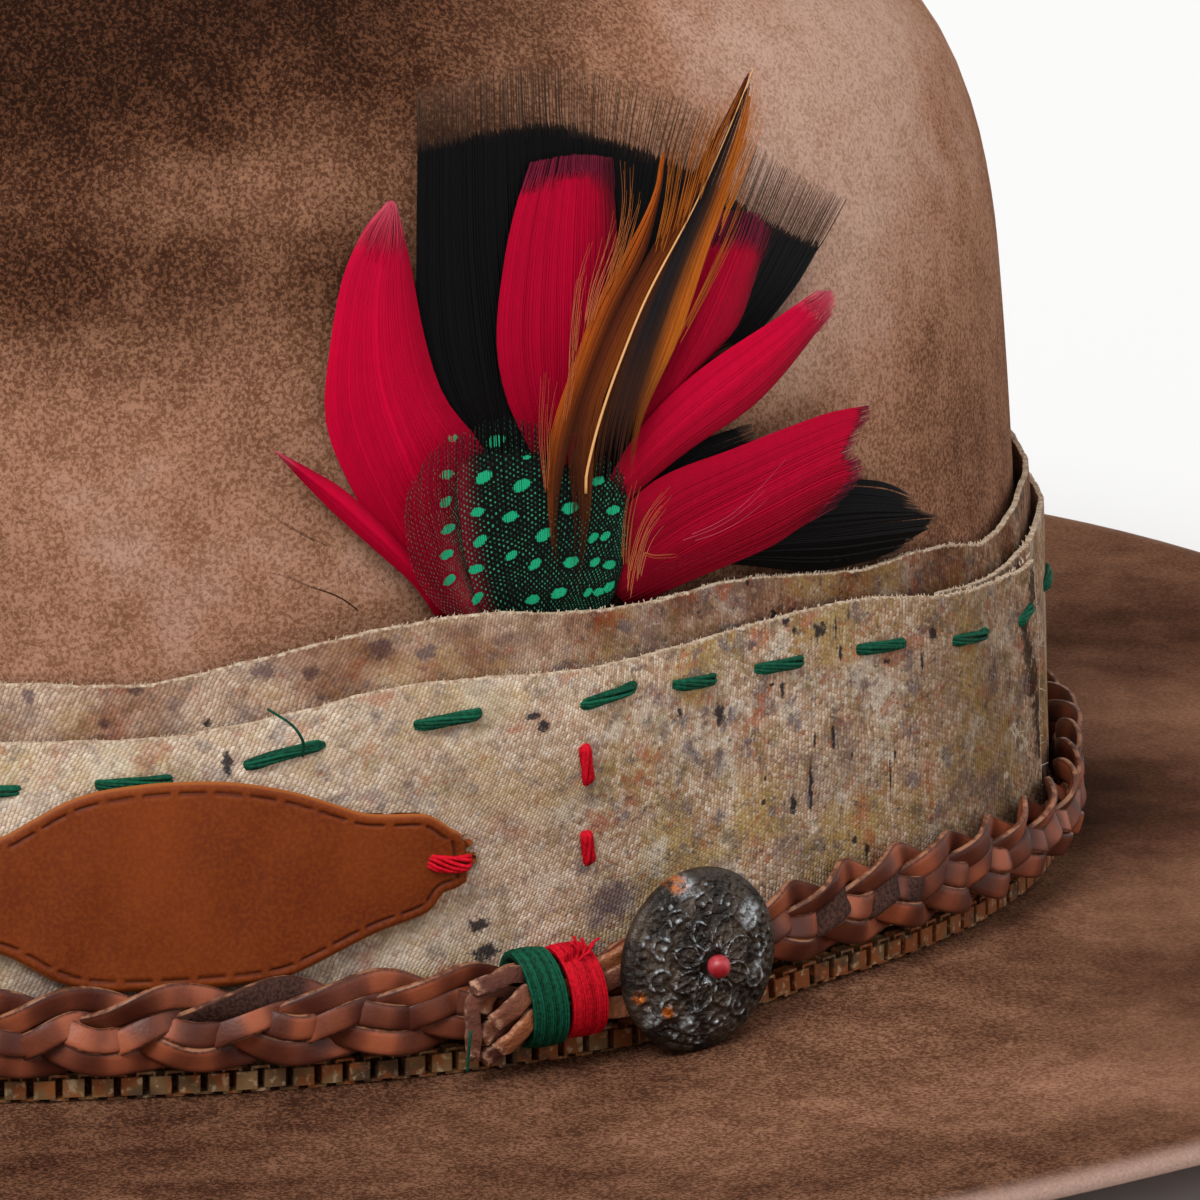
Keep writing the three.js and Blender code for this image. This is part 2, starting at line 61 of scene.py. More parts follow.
FLOOR_SIZE = 30.0
FLOOR_COLOUR = (0.90, 0.90, 0.90, 1)
SKY = {"colour": (1.0, 0.99, 0.98, 1), "strength": 0.50}
bpy.ops.mesh.primitive_plane_add(size=FLOOR_SIZE, location=(0, 0, 0))
floor = bpy.context.object
floor.name = "floor"
pale = bpy.data.materials.new("pale_floor")
pale.use_nodes = True
pale.node_tree.nodes["Principled BSDF"].inputs["Base Color"].default_value = FLOOR_COLOUR
pale.node_tree.nodes["Principled BSDF"].inputs["Roughness"].default_value = 0.9
floor.data.materials.append(pale)

world = bpy.data.worlds.new("soft_sky")
world.use_nodes = True
world.node_tree.nodes["Background"].inputs["Color"].default_value = SKY["colour"]
world.node_tree.nodes["Background"].inputs["Strength"].default_value = SKY["strength"]
bpy.context.scene.world = world

LIGHTS = [
    {"name": "key", "towards": (0.75, -0.45, 0.90), "strength": 2.2, "angle": 28},
    {"name": "fill", "towards": (0.30, 0.80, 0.60), "strength": 0.5, "angle": 60},
]
for light in LIGHTS:
    bpy.ops.object.light_add(type="SUN", location=light["towards"])
    lamp = bpy.context.object
    lamp.name = light["name"]
    lamp.data.energy = light["strength"]
    lamp.data.angle = math.radians(light["angle"])
    lamp.rotation_euler = Vector(light["towards"]).to_track_quat("Z", "Y").to_euler()

# Felt body: one hollow piece of wool felt, blocked into a pinched crown and a curled brim with a raw cut
# edge. It was dyed unevenly: dark round the top and the pinch, rubbed pale on the shoulder and the wall.
# Painted shade adds to the dark of the top, the pinch and the crown's edge towards the back, and painted
# light adds to the pale shoulder and the ridge over the pinch.
HALF_WIDTH = 0.0865
HALF_LENGTH = 0.1023
SQUARENESS = 2.12
CROWN_FOOT = 0.0055
TAPER = 0.0034
TAPER_OVER = 0.065
BRIM_WIDTH = 0.068


def oval(angle, grow):
    """The crown's base in plan, grown by a distance all round."""
    across = np.abs(np.cos(angle) / (HALF_WIDTH + grow)) ** SQUARENESS
    lengthways = np.abs(np.sin(angle) / (HALF_LENGTH + grow)) ** SQUARENESS
    radius = (across + lengthways) ** (-1 / SQUARENESS)
    return np.stack([radius * np.cos(angle), radius * np.sin(angle)], -1)


TURN = 2 * math.pi
ROUND_ANGLES = np.linspace(0, TURN, 1441)
ROUND = np.concatenate([[0], np.cumsum(np.linalg.norm(np.diff(oval(ROUND_ANGLES, 0), axis=0), axis=1))])
GIRTH = ROUND[-1]


def angle_at(along):
    """The angle at a distance round the crown's base from the wearer's left towards the back."""
    turns = np.floor(along / GIRTH)
    return np.interp(along - turns * GIRTH, ROUND, ROUND_ANGLES) + TURN * turns


def on_wall(along, up, out):
    """Points on the crown's wall: along it, up it and out from the felt, in metres."""
    along, up, out = np.broadcast_arrays(along, up, out)
    plan = oval(angle_at(along), out - TAPER * (up / TAPER_OVER) ** 2)
    return np.concatenate([plan, (CROWN_FOOT + up)[..., None]], -1)


def deselect_all():
    bpy.ops.object.select_all(action="DESELECT")


def apply_modifiers(piece):
    deselect_all()
    piece.select_set(True)
    bpy.context.view_layer.objects.active = piece
    for modifier in list(piece.modifiers):
        bpy.ops.object.modifier_apply(modifier=modifier.name)


def give(piece, name, values):
    """A number for each of a piece's points, which its material reads by name."""
    attribute = piece.data.attributes.new(name, "FLOAT", "POINT")
    attribute.data.foreach_set("value", np.asarray(values, np.float32).ravel())


def points_of(piece):
    co = np.zeros(len(piece.data.vertices) * 3, np.float32)
    piece.data.vertices.foreach_get("co", co)
    return co.reshape(-1, 3)


def fasten(piece, slot, *cad_nodes):
    """The piece rides with the hat and may stand for CAD nodes, which it hides. The slot is not used."""
    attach(piece, "root")
    if cad_nodes:
        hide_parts(*cad_nodes)


def tint(code):
    """A colour as seen, such as A87C66, as the linear one that a shader takes."""
    seen = [int(code[i:i + 2], 16) / 255 for i in (0, 2, 4)]
    return (*[v / 12.92 if v <= 0.04045 else ((v + 0.055) / 1.055) ** 2.4 for v in seen], 1.0)


def new_finish(name, **shader):
    material = bpy.data.materials.new(name)
    material.use_nodes = True
    tree = material.node_tree
    for socket, value in shader.items():
        tree.nodes["Principled BSDF"].inputs[socket.replace("_", " ")].default_value = value
    return material, tree


def put(tree, kind, inputs, output=0, **settings):
    """A shader node's output. Each input is a value or the output of another node."""
    made = tree.nodes.new("ShaderNode" + kind)
    for setting, value in settings.items():
        setattr(made, setting, value)
    for socket, value in inputs.items():
        if isinstance(value, bpy.types.NodeSocket):
            tree.links.new(value, made.inputs[socket])
        else:
            made.inputs[socket].default_value = value
    return made.outputs[output]


def place_of(tree, scale=(1, 1, 1), spin=0.0):
    """Where a point lies in the hat's frame, stretched for a pattern."""
    spot = put(tree, "TexCoord", {}, "Object")
    return put(tree, "Mapping", {"Vector": spot, "Scale": scale, "Rotation": (0, 0, spin)})


def own(tree, name):
    return put(tree, "Attribute", {}, "Fac", attribute_name=name)


def noise(tree, vector, scale, detail=2.0, roughness=0.5, distortion=0.0):
    settings = {"Vector": vector, "Scale": scale, "Detail": detail, "Roughness": roughness}
    return put(tree, "TexNoise", {**settings, "Distortion": distortion})


def calc(tree, operation, a, b=0.0, c=0.0):
    return put(tree, "Math", {0: a, 1: b, 2: c}, operation=operation)


def fit(tree, value, low, high, to_low=0.0, to_high=1.0):
    ends = {"From Min": low, "From Max": high, "To Min": to_low, "To Max": to_high}
    return put(tree, "MapRange", {"Value": value, **ends}, interpolation_type="SMOOTHSTEP")


def mix(tree, share, a, b, blend="MIX"):
    return put(tree, "Mix", {0: share, 6: a, 7: b}, 2, data_type="RGBA", blend_type=blend)


def ramp(tree, share, stops):
    made = tree.nodes.new("ShaderNodeValToRGB")
    tree.links.new(share, made.inputs[0])
    for i, (at, code) in enumerate(stops):
        stop = made.color_ramp.elements[i] if i < 2 else made.color_ramp.elements.new(at)
        stop.position = at
        stop.color = tint(code)
    return made.outputs[0]


def paint(tree, **sockets):
    """Links outputs to the shader's own sockets."""
    for socket, output in sockets.items():
        tree.links.new(output, tree.nodes["Principled BSDF"].inputs[socket.replace("_", " ")])


def bumps(tree, height, strength, distance):
    return put(tree, "Bump", {"Height": height, "Strength": strength, "Distance": distance})


felt = bpy.data.objects.new("felt_hat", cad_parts["felt_body"].data.copy())
bpy.context.collection.objects.link(felt)
deselect_all()
felt.select_set(True)
bpy.context.view_layer.objects.active = felt
bpy.ops.object.mode_set(mode="EDIT")
bpy.ops.mesh.select_all(action="SELECT")
bpy.ops.mesh.remove_doubles(threshold=0.00001)
bpy.ops.mesh.tris_convert_to_quads(face_threshold=math.radians(60), shape_threshold=math.radians(60))
bpy.ops.object.mode_set(mode="OBJECT")
smoothing = felt.modifiers.new("smoothing", "SUBSURF")
smoothing.levels = smoothing.render_levels = 2
apply_modifiers(felt)
bpy.ops.object.shade_smooth()

# Where the felt is lighter (above 0) or darker, on both sides: a place, how far it spreads, and how much.
# Most is dye; the dark top, the dark band in the pinch and the crown's edge towards the back are partly
# painted shade, and the pale ridge over the pinch and the pale shoulder are partly painted light.
FELT_TONES = [
    # Dark top of the crown: dye, and painted shade.
    {"y": 18, "z": 101, "wide": 46, "high": 20, "tone": -1.28},
    # Dark band in the pinch: dye, and the dent's shadow painted in.
    {"y": 8, "z": 76, "wide": 44, "high": 6.5, "tone": -0.72},
    # Pale ridge over the pinch: paler dye, and painted light on the dent's upturned lip.
    {"y": 24, "z": 83, "wide": 17, "high": 4.5, "tone": 0.55},
    {"y": 12, "z": 54, "wide": 52, "high": 16, "tone": 0.63},
    # Pale shoulder: rubbed pale, and painted light.
    {"y": 74, "z": 92, "wide": 22, "high": 24, "tone": 1.6},
    {"y": 70, "z": 66, "wide": 26, "high": 18, "tone": 0.5},
    # Darker edge towards the back: darker specks, and painted shade.
    {"y": 92, "z": 62, "wide": 8, "high": 26, "tone": -0.5},
    {"y": 84, "z": 70, "wide": 12, "high": 14, "tone": 0.5},
    {"y": -40, "z": 60, "wide": 30, "high": 26, "tone": 0.3},
    {"y": -30, "z": 100, "wide": 60, "high": 18, "tone": -1.0},
]
BRIM_TONE = -0.55
BRIM_TONES = [
    {"x": 64, "y": 124, "spread": 22, "tone": -0.7},
    {"x": 120, "y": 74, "spread": 30, "tone": 0.35},
    {"x": 128, "y": 20, "spread": 26, "tone": -0.15},
    {"x": 100, "y": 108, "spread": 14, "tone": 0.4},
    {"x": 20, "y": 140, "spread": 30, "tone": 0.2},
    {"x": 5, "y": 111, "spread": 13, "tone": -1.1},
    {"x": 36, "y": 120, "spread": 16, "tone": 0.55},
    {"x": 99, "y": 94, "spread": 9, "tone": 0.5},
    {"x": 94, "y": 110, "spread": 22, "tone": 0.28},
    {"x": 72, "y": 86, "spread": 14, "tone": 0.2},
    {"x": 108, "y": 30, "spread": 10, "tone": 0.25},
]
EDGE_RAW = 0.0022
NAP_DRAWN = 0.15
DEEP_STOPS = [(0.0, "22110A"), (0.19, "341C11"), (0.5, "68422E"), (0.69, "82583F"), (0.9, "A17C67")]
PALE_STOPS = [(0.0, "523221"), (0.19, "6C4631"), (0.5, "9C7158"), (0.69, "AE8168"), (0.9, "BF9B89")]
place = points_of(felt) / MM
on_crown = np.clip((place[:, 2] - 10) / 6, 0, 1)
tone = BRIM_TONE * (1 - on_crown)
for zone in FELT_TONES:
    near = ((place[:, 1] - zone["y"]) / zone["wide"]) ** 2 + ((place[:, 2] - zone["z"]) / zone["high"]) ** 2
    tone += zone["tone"] * np.exp(-near) * on_crown
for zone in BRIM_TONES:
    near = ((np.abs(place[:, 0]) - zone["x"]) ** 2 + (place[:, 1] - zone["y"]) ** 2) / zone["spread"] ** 2
    tone += zone["tone"] * np.exp(-near) * (1 - on_crown)
give(felt, "tone", tone)
smoother_back = 0.95 * np.clip((place[:, 1] - 78) / 30, 0, 1)
give(felt, "calm", (1 - on_crown) * (smoother_back - 0.45) - 0.2 * on_crown)
angles = np.arctan2(place[:, 1], place[:, 0])
outline = np.linalg.norm(oval(angles, BRIM_WIDTH), axis=1)
inset = outline - np.hypot(place[:, 0], place[:, 1]) * MM
give(felt, "raw", 1 - np.clip((inset - 0.0006) / EDGE_RAW, 0, 1))
from_middle = np.maximum(np.hypot(place[:, 0], place[:, 1]), 1)
foot = np.linalg.norm(oval(angles, 0), axis=1) / MM
nap = place * MM
nap[:, :2] *= 1 - NAP_DRAWN * np.clip(1 - foot / from_middle, 0, 1)[:, None]
nap_at = felt.data.attributes.new("nap_at", "FLOAT_VECTOR", "POINT")
nap_at.data.foreach_set("vector", nap.astype(np.float32).ravel())

felt_finish, tree = new_finish("brushed_felt", Roughness=0.95, Specular_IOR_Level=0.06)
spot = place_of(tree)
cloud = noise(tree, spot, 22, 4, 0.6)
dye = calc(tree, "MULTIPLY_ADD", calc(tree, "SUBTRACT", cloud, 0.5), 2.2, own(tree, "tone"))
mottle = noise(tree, spot, 130, 3, 0.6)
dye = calc(tree, "MULTIPLY_ADD", calc(tree, "SUBTRACT", mottle, 0.5), 1.3, dye)
depth = put(tree, "MapRange", {"Value": dye, "From Min": -1.6, "From Max": 1.6})
nap = put(tree, "Attribute", {}, "Vector", attribute_name="nap_at")
speck = noise(tree, nap, 2700, 4, 0.72, 0.4)
patch = calc(tree, "SUBTRACT", noise(tree, nap, 330, 3, 0.6), 0.5)
fuzz = noise(tree, nap, 3800, 2)
grain = calc(tree, "MULTIPLY_ADD", patch, 0.20, speck)
grain = calc(tree, "MULTIPLY_ADD", calc(tree, "SUBTRACT", depth, 0.5), 0.08, grain)
grain = fit(tree, grain, 0.375, 0.625)
grain = calc(tree, "MULTIPLY_ADD", calc(tree, "SUBTRACT", 0.5, grain), own(tree, "calm"), grain)
felt_colour = mix(tree, grain, ramp(tree, depth, DEEP_STOPS), ramp(tree, depth, PALE_STOPS))
raw_colour = mix(tree, fuzz, tint("927060"), tint("BCA093"))
paint(
    tree,
    Base_Color=mix(tree, own(tree, "raw"), felt_colour, raw_colour),
    Normal=bumps(tree, calc(tree, "MULTIPLY_ADD", fuzz, 0.6, grain), 0.35, 0.0003),
)
felt.data.materials.clear()
felt.data.materials.append(felt_finish)
fasten(felt, "felt", "felt_body")

# Canvas band: two turns of a twill torn into strips, the inner one showing above the outer. The edges are
# raw, the outer turn ends over its own start, and both stand out over the feathers' roots.
CANVAS = 0.5
INNER_OUT = 0.6
OUTER_OUT = 1.9
LAP_OUT = 3.1
BAND_FOOT = 4.3
BAND_TOP = np.array([
    (-60, 36.4, 31.6), (-20, 36.2, 31.2), (4, 36.1, 31.2), (16, 35.7, 31.2), (22, 36.8, 31.9),
    (28, 38.1, 33.0), (36, 39.9, 34.9), (44, 40.9, 35.5), (52, 40.2, 35.4), (62, 39.8, 35.6),
    (72, 39.8, 35.8), (82, 38.6, 35.8), (90, 37.7, 35.2), (98, 37.6, 33.9), (106, 36.8, 33.0),
    (114, 35.4, 32.7), (130, 36.8, 33.4), (220, 36.5, 32.0), (400, 36.8, 32.4), (541, 36.4, 31.6),
])
INNER_TOP = 1
OUTER_TOP = 2
CLOTH_ROWS = 14
LAP_START = 100.13
LAP_END = GIRTH / MM + 120.16
FAR = 9.0
TUCK = {"along": 50, "spread": 18, "out": 4.7, "low": 9, "high": 36}


def smooth_step(value, low, high):
    share = np.clip((value - low) / (high - low), 0, 1)
    return share * share * (3 - 2 * share)


def read(places, values, at):
    """A curve through a short table's rows, as the CAD source reads its own."""
    at = np.clip(at, places[0], places[-1])
    i = np.clip(np.searchsorted(places, at) - 1, 0, len(places) - 2)
    before, after = np.maximum(i - 1, 0), np.minimum(i + 2, len(places) - 1)
    span = places[i + 1] - places[i]
    t = (at - places[i]) / span
    leaving = (values[i + 1] - values[before]) / (places[i + 1] - places[before])
    arriving = (values[after] - values[i]) / (places[after] - places[i])
    ease = t * t * (3 - 2 * t)
    bend = (1 - t) ** 2 * t * leaving - t * t * (1 - t) * arriving
    return values[i] * (1 - ease) + values[i + 1] * ease + bend * span


def band_top(column, along):
    first = BAND_TOP[0, 0]
    return read(BAND_TOP[:, 0], BAND_TOP[:, column], first + (along - first) % (GIRTH / MM))


def tuck(along, up):
    """How far the feathers' roots push the canvas out, in millimetres."""
    girth = GIRTH / MM
    place = along - girth * np.round((along - TUCK["along"]) / girth)
    near = np.exp(-(((place - TUCK["along"]) / TUCK["spread"]) ** 2))
    return TUCK["out"] * near * smooth_step(up, TUCK["low"], TUCK["high"])


def lap_lift(along):
    """How far the outer turn's end stands over its start, in millimetres."""
    start = GIRTH / MM + LAP_START
    return (LAP_OUT - OUTER_OUT) * smooth_step(along, start - 14, start - 1)


def slack(along, up):
    """Low ripples of cloth that was pulled round by hand, in millimetres."""
    long_wave = 0.16 * np.sin(along * 0.31 + up * 0.12) * np.sin(along * 0.073 + 1.3)
    short_wave = 0.07 * np.sin(along * 0.9 - up * 0.42 + 0.7) * np.sin(along * 0.19)
    return (long_wave + short_wave) * smooth_step(up, BAND_FOOT, 12)


def edge_waver(along, seed):
    """The small ins and outs of a torn edge, in millimetres."""
    return 0.05 * np.sin(along * 1.1 + seed) + 0.04 * np.sin(along * 2.9 + 2 * seed)


def cloth_strip(name, start, end, columns, shape, cut_end):
    """A grid bent to the band: shape gives the top and the distance out for each place along."""
    bpy.ops.mesh.primitive_grid_add(x_subdivisions=columns, y_subdivisions=CLOTH_ROWS, size=1)
    strip = bpy.context.object
    strip.name = name
    flat = points_of(strip) + 0.5
    along = start + flat[:, 0] * (end - start)
    top, out = shape(along)
    up = BAND_FOOT + flat[:, 1] * (top - BAND_FOOT)
    bent = on_wall(along * MM, up * MM, (out + tuck(along, up) + slack(along, up)) * MM)
    strip.data.vertices.foreach_set("co", bent.astype(np.float32).ravel())
    corners = np.zeros(len(strip.data.loops), np.int32)
    strip.data.loops.foreach_get("vertex_index", corners)
    cloth = np.stack([along, up], -1)[corners] * MM
    strip.data.uv_layers[0].data.foreach_set("uv", cloth.astype(np.float32).ravel())
    give(strip, "from_edge", top - up)
    give(strip, "under", np.full_like(up, 0.0 if cut_end else 1.0))
    give(strip, "to_end", np.abs(end - along) if cut_end else np.full_like(along, FAR))
    return strip


def thicken(piece, thickness, offset):
    wall = piece.modifiers.new("wall", "SOLIDIFY")
    wall.thickness = thickness
    wall.offset = offset
    wall.use_even_offset = True
    apply_modifiers(piece)
    bpy.ops.object.shade_smooth_by_angle(angle=math.radians(50))


def inner_shape(along):
    return band_top(INNER_TOP, along) + edge_waver(along, 0.4), INNER_OUT + np.zeros_like(along)


def outer_shape(along):
    near_end = smooth_step(along, LAP_END - 9, LAP_END)
    top = band_top(OUTER_TOP, along) + edge_waver(along, 2.1) - 0.5 * near_end
    return top, OUTER_OUT + lap_lift(along) + 0.3 * near_end


inner_band = cloth_strip("inner_band", 0, GIRTH / MM, 600, inner_shape, False)
bpy.ops.object.mode_set(mode="EDIT")
bpy.ops.mesh.select_all(action="SELECT")
bpy.ops.mesh.remove_doubles(threshold=0.00001)
bpy.ops.object.mode_set(mode="OBJECT")
outer_band = cloth_strip("outer_band", LAP_START, LAP_END, 620, outer_shape, True)

RIB_PITCH = 0.00043
FLOAT_LENGTH = 0.00047
STAINS = [
    {"at": (0.77, 0.12), "scale": 60, "from": 0.46, "to": 0.62, "share": 0.55, "code": "98806A"},
    {"at": (0.10, 0.80), "scale": 95, "from": 0.47, "to": 0.62, "share": 0.62, "code": "B4944E"},
    {"at": (0.42, 0.33), "scale": 130, "from": 0.52, "to": 0.64, "share": 0.65, "code": "E2D6C4"},
    {"at": (0.23, 0.47), "scale": 170, "from": 0.52, "to": 0.64, "share": 0.62, "code": "75605F"},
    {"at": (0.90, 0.50), "scale": 210, "from": 0.55, "to": 0.65, "share": 0.62, "code": "B0603E"},
    {"at": (0.35, 0.90), "scale": 260, "from": 0.53, "to": 0.64, "share": 0.55, "code": "86703E"},
    {"at": (0.31, 0.07), "scale": 300, "from": 0.55, "to": 0.65, "share": 0.62, "code": "5F5A66"},
    {"at": (0.52, 0.72), "scale": 420, "from": 0.52, "to": 0.64, "share": 0.50, "code": "7E6754"},
    {"at": (0.66, 0.21), "scale": 620, "from": 0.58, "to": 0.67, "share": 0.65, "code": "4A4248"},
    {"at": (0.15, 0.61), "scale": 700, "from": 0.58, "to": 0.67, "share": 0.60, "code": "A05430"},
    {"at": (0.58, 0.02), "scale": 1300, "from": 0.55, "to": 0.66, "share": 0.55, "code": "58483E"},
    {"at": (0.08, 0.38), "scale": 1500, "from": 0.55, "to": 0.66, "share": 0.38, "code": "F4E8D6"},
]
DARK_MARKS = [
    (77.0, 35.5, 0.55, 0.7), (78.0, 34.3, 0.3, 0.3), (81.4, 33.7, 0.8, 0.8), (83.6, 33.7, 0.15, 0.9),
    (84.2, 31.0, 0.25, 0.9), (73.6, 39.3, 0.25, 0.4), (68.1, 28.5, 0.5, 1.2), (76.3, 29.1, 0.3, 0.8),
    (75.0, 29.9, 0.3, 0.2), (63.0, 29.7, 0.3, 0.4), (90.7, 29.1, 0.4, 0.3), (96.8, 30.6, 0.5, 0.7),
    (95.3, 28.4, 0.15, 1.2), (82.9, 23.6, 0.22, 1.3), (80.5, 23.8, 0.2, 0.7), (85.3, 21.4, 0.15, 0.4),
    (80.0, 19.6, 0.25, 2.6), (77.8, 18.2, 0.4, 0.9), (74.1, 21.3, 0.2, 0.3), (73.9, 19.2, 0.3, 0.25),
    (91.3, 20.3, 0.2, 0.5), (90.5, 18.1, 0.12, 1.8), (87.2, 12.1, 0.3, 0.8), (85.6, 13.4, 0.3, 0.4),
    (22.3, 28.7, 0.45, 1.0), (21.0, 32.1, 0.4, 0.4), (44.5, 12.3, 1.0, 0.7), (45.2, 9.7, 1.2, 0.8),
    (47.6, 31.8, 0.6, 0.35), (48.5, 30.8, 0.5, 0.5),
]
FAINT_MARKS = [
    (14.9, 35.2, 0.8, 0.5), (5.5, 35.0, 0.7, 0.6), (26.0, 36.5, 1.0, 0.8), (35.8, 38.2, 1.2, 0.9),
    (39.4, 37.8, 0.9, 0.7), (57.5, 13.0, 2.4, 2.0), (30.0, 36.2, 0.8, 0.6), (12.0, 32.4, 0.6, 0.5),
]
# Painted shade: dark streaks where the outer turn's end folds, standing in for the fold's shadow.
FOLD_SHADE_MARKS = [
    (116.1, 26.8, 1.1, 1.8), (116.9, 24.2, 1.3, 2.0), (117.9, 21.3, 1.4, 2.0), (118.8, 18.5, 1.4, 2.0),
    (119.8, 15.6, 1.4, 2.2), (119.0, 30.0, 1.2, 2.0),
]
WORN_MARKS = [
    (112.5, 18.1, 0.9, 0.4), (113.6, 17.2, 0.8, 0.35), (115.0, 15.7, 1.0, 0.35), (110.5, 14.0, 0.7, 0.3),
]
canvas_finish, tree = new_finish("stained_twill_with_painted_shade", Roughness=0.92, Specular_IOR_Level=0.08)
cloth = put(tree, "UVMap", {})
along = put(tree, "SeparateXYZ", {"Vector": cloth}, "X")
up = put(tree, "SeparateXYZ", {"Vector": cloth}, "Y")
around = calc(tree, "FLOORED_MODULO", along, GIRTH)
before_start = fit(tree, around, GIRTH - 0.05, GIRTH)
lean = calc(tree, "MULTIPLY_ADD", before_start, 0.45, fit(tree, around, 0.032, 0.074, 0.49, 0.04))
pulled = calc(tree, "MULTIPLY_ADD", calc(tree, "SUBTRACT", noise(tree, cloth, 160, 2), 0.5), 0.0016, along)
across = calc(tree, "SUBTRACT", pulled, calc(tree, "MULTIPLY", up, lean))
across = calc(tree, "DIVIDE", across, RIB_PITCH)
rib = calc(tree, "FLOOR", across)
ridge = calc(tree, "PINGPONG", across, 0.5)
row = calc(tree, "MULTIPLY_ADD", rib, 0.37, calc(tree, "DIVIDE", up, FLOAT_LENGTH))
bead = calc(tree, "PINGPONG", row, 0.5)
one_float = put(tree, "CombineXYZ", {"X": rib, "Y": calc(tree, "FLOOR", row)})
luck = put(tree, "TexWhiteNoise", {"Vector": one_float}, "Value", noise_dimensions="2D")
weave = calc(tree, "MULTIPLY_ADD", fit(tree, bead, 0, 0.3), 0.6, 0.4)
weave = calc(tree, "MULTIPLY", weave, fit(tree, ridge, -0.12, 0.42))
fibre_tone = calc(tree, "ADD", noise(tree, cloth, 900, 2), noise(tree, cloth, 260, 3, 0.6))
yarn_tone = calc(tree, "MULTIPLY_ADD", luck, 0.42, calc(tree, "MULTIPLY", fibre_tone, 0.29))
yarn = ramp(tree, yarn_tone, [(0.28, "A8825F"), (0.42, "C4A284"), (0.58, "DABDA2"), (0.74, "F0E0CB")])
bleached = calc(tree, "MULTIPLY_ADD", before_start, 0.38, fit(tree, around, 0.030, 0.070, 0.38, 0.0))
yarn = mix(tree, bleached, yarn, tint("F0E2CE"))
# Darker in the gaps between the yarns.
canvas_colour = mix(tree, fit(tree, weave, -0.05, 0.55), tint("957660"), yarn)
busy = fit(tree, around, 0.048, 0.058, 0.62, 1.0)
busy = calc(tree, "SUBTRACT", busy, fit(tree, around, 0.125, 0.165, 0.0, 0.38))
for stain in STAINS:
    moved = put(tree, "Mapping", {"Vector": cloth, "Location": (*stain["at"], 0)})
    spread = noise(tree, moved, stain["scale"], 4, 0.65)
    share = fit(tree, spread, stain["from"], stain["to"], 0.0, stain["share"])
    share = calc(tree, "MULTIPLY", share, busy)
    canvas_colour = mix(tree, share, canvas_colour, tint(stain["code"]))
place_on_cloth = put(tree, "CombineXYZ", {"X": around, "Y": up})
ragged = calc(tree, "SUBTRACT", noise(tree, cloth, 1500, 4, 0.7), 0.5)


def nearer(tree, nearest, spot):
    """The smaller of a distance and how far a place lies from its own middle."""
    away = put(tree, "VectorMath", {0: spot}, "Value", operation="LENGTH")
    return calc(tree, "MINIMUM", nearest, away)


def marked(marks, code, share, colour):
    """The colour with ragged marks laid on it, stains, wear or painted shade, each a place along and up with
    its half sizes.
    """
    nearest = FAR
    for at, high, wide, tall in marks:
        scale = (1 / (wide * MM), 1 / (tall * MM), 1)
        moved = (-at / wide, -high / tall, 0)
        spot = put(tree, "Mapping", {"Vector": place_on_cloth, "Location": moved, "Scale": scale})
        nearest = nearer(tree, nearest, spot)
    nearest = calc(tree, "MULTIPLY_ADD", ragged, 3.6, nearest)
    return mix(tree, fit(tree, nearest, 0.55, 1.3, share, 0.0), colour, tint(code))


canvas_colour = marked(FAINT_MARKS, "62525A", 0.72, canvas_colour)
canvas_colour = marked(DARK_MARKS, "24242B", 0.92, canvas_colour)
# Painted shade of the fold near the outer turn's end.
canvas_colour = marked(FOLD_SHADE_MARKS, "2E2019", 0.85, canvas_colour)
canvas_colour = marked(WORN_MARKS, "F2E8DA", 0.85, canvas_colour)
soiled_to = fit(tree, around, 0.122, 0.160, 0.0, 0.6)
soiled = calc(tree, "SUBTRACT", fit(tree, around, 0.066, 0.112, 0.0, 0.6), soiled_to)
canvas_colour = mix(tree, soiled, canvas_colour, tint("98806A"), "MULTIPLY")
handled = fit(tree, noise(tree, cloth, 110, 3), 0.40, 0.60, 0.45, 1.0)
handled = calc(tree, "MULTIPLY", own(tree, "under"), handled)
canvas_colour = mix(tree, handled, canvas_colour, tint("BFA49A"), "MULTIPLY")
to_edge = calc(tree, "MINIMUM", own(tree, "from_edge"), own(tree, "to_end"))
to_edge = calc(tree, "MULTIPLY_ADD", ragged, 0.8, to_edge)
bare = mix(tree, fit(tree, noise(tree, cloth, 1700, 2), 0.35, 0.65), tint("A88A70"), tint("DCCAB2"))
paint(
    tree,
    Base_Color=mix(tree, fit(tree, to_edge, 0.02, 0.26), bare, canvas_colour),
    Normal=bumps(tree, weave, 0.5, 0.00012),
)
for band, slot_node in ((inner_band, "band_inner"), (outer_band, "band_outer")):
    thicken(band, CANVAS * MM, 1)
    band.data.materials.append(canvas_finish)
    fasten(band, "canvas", slot_node)

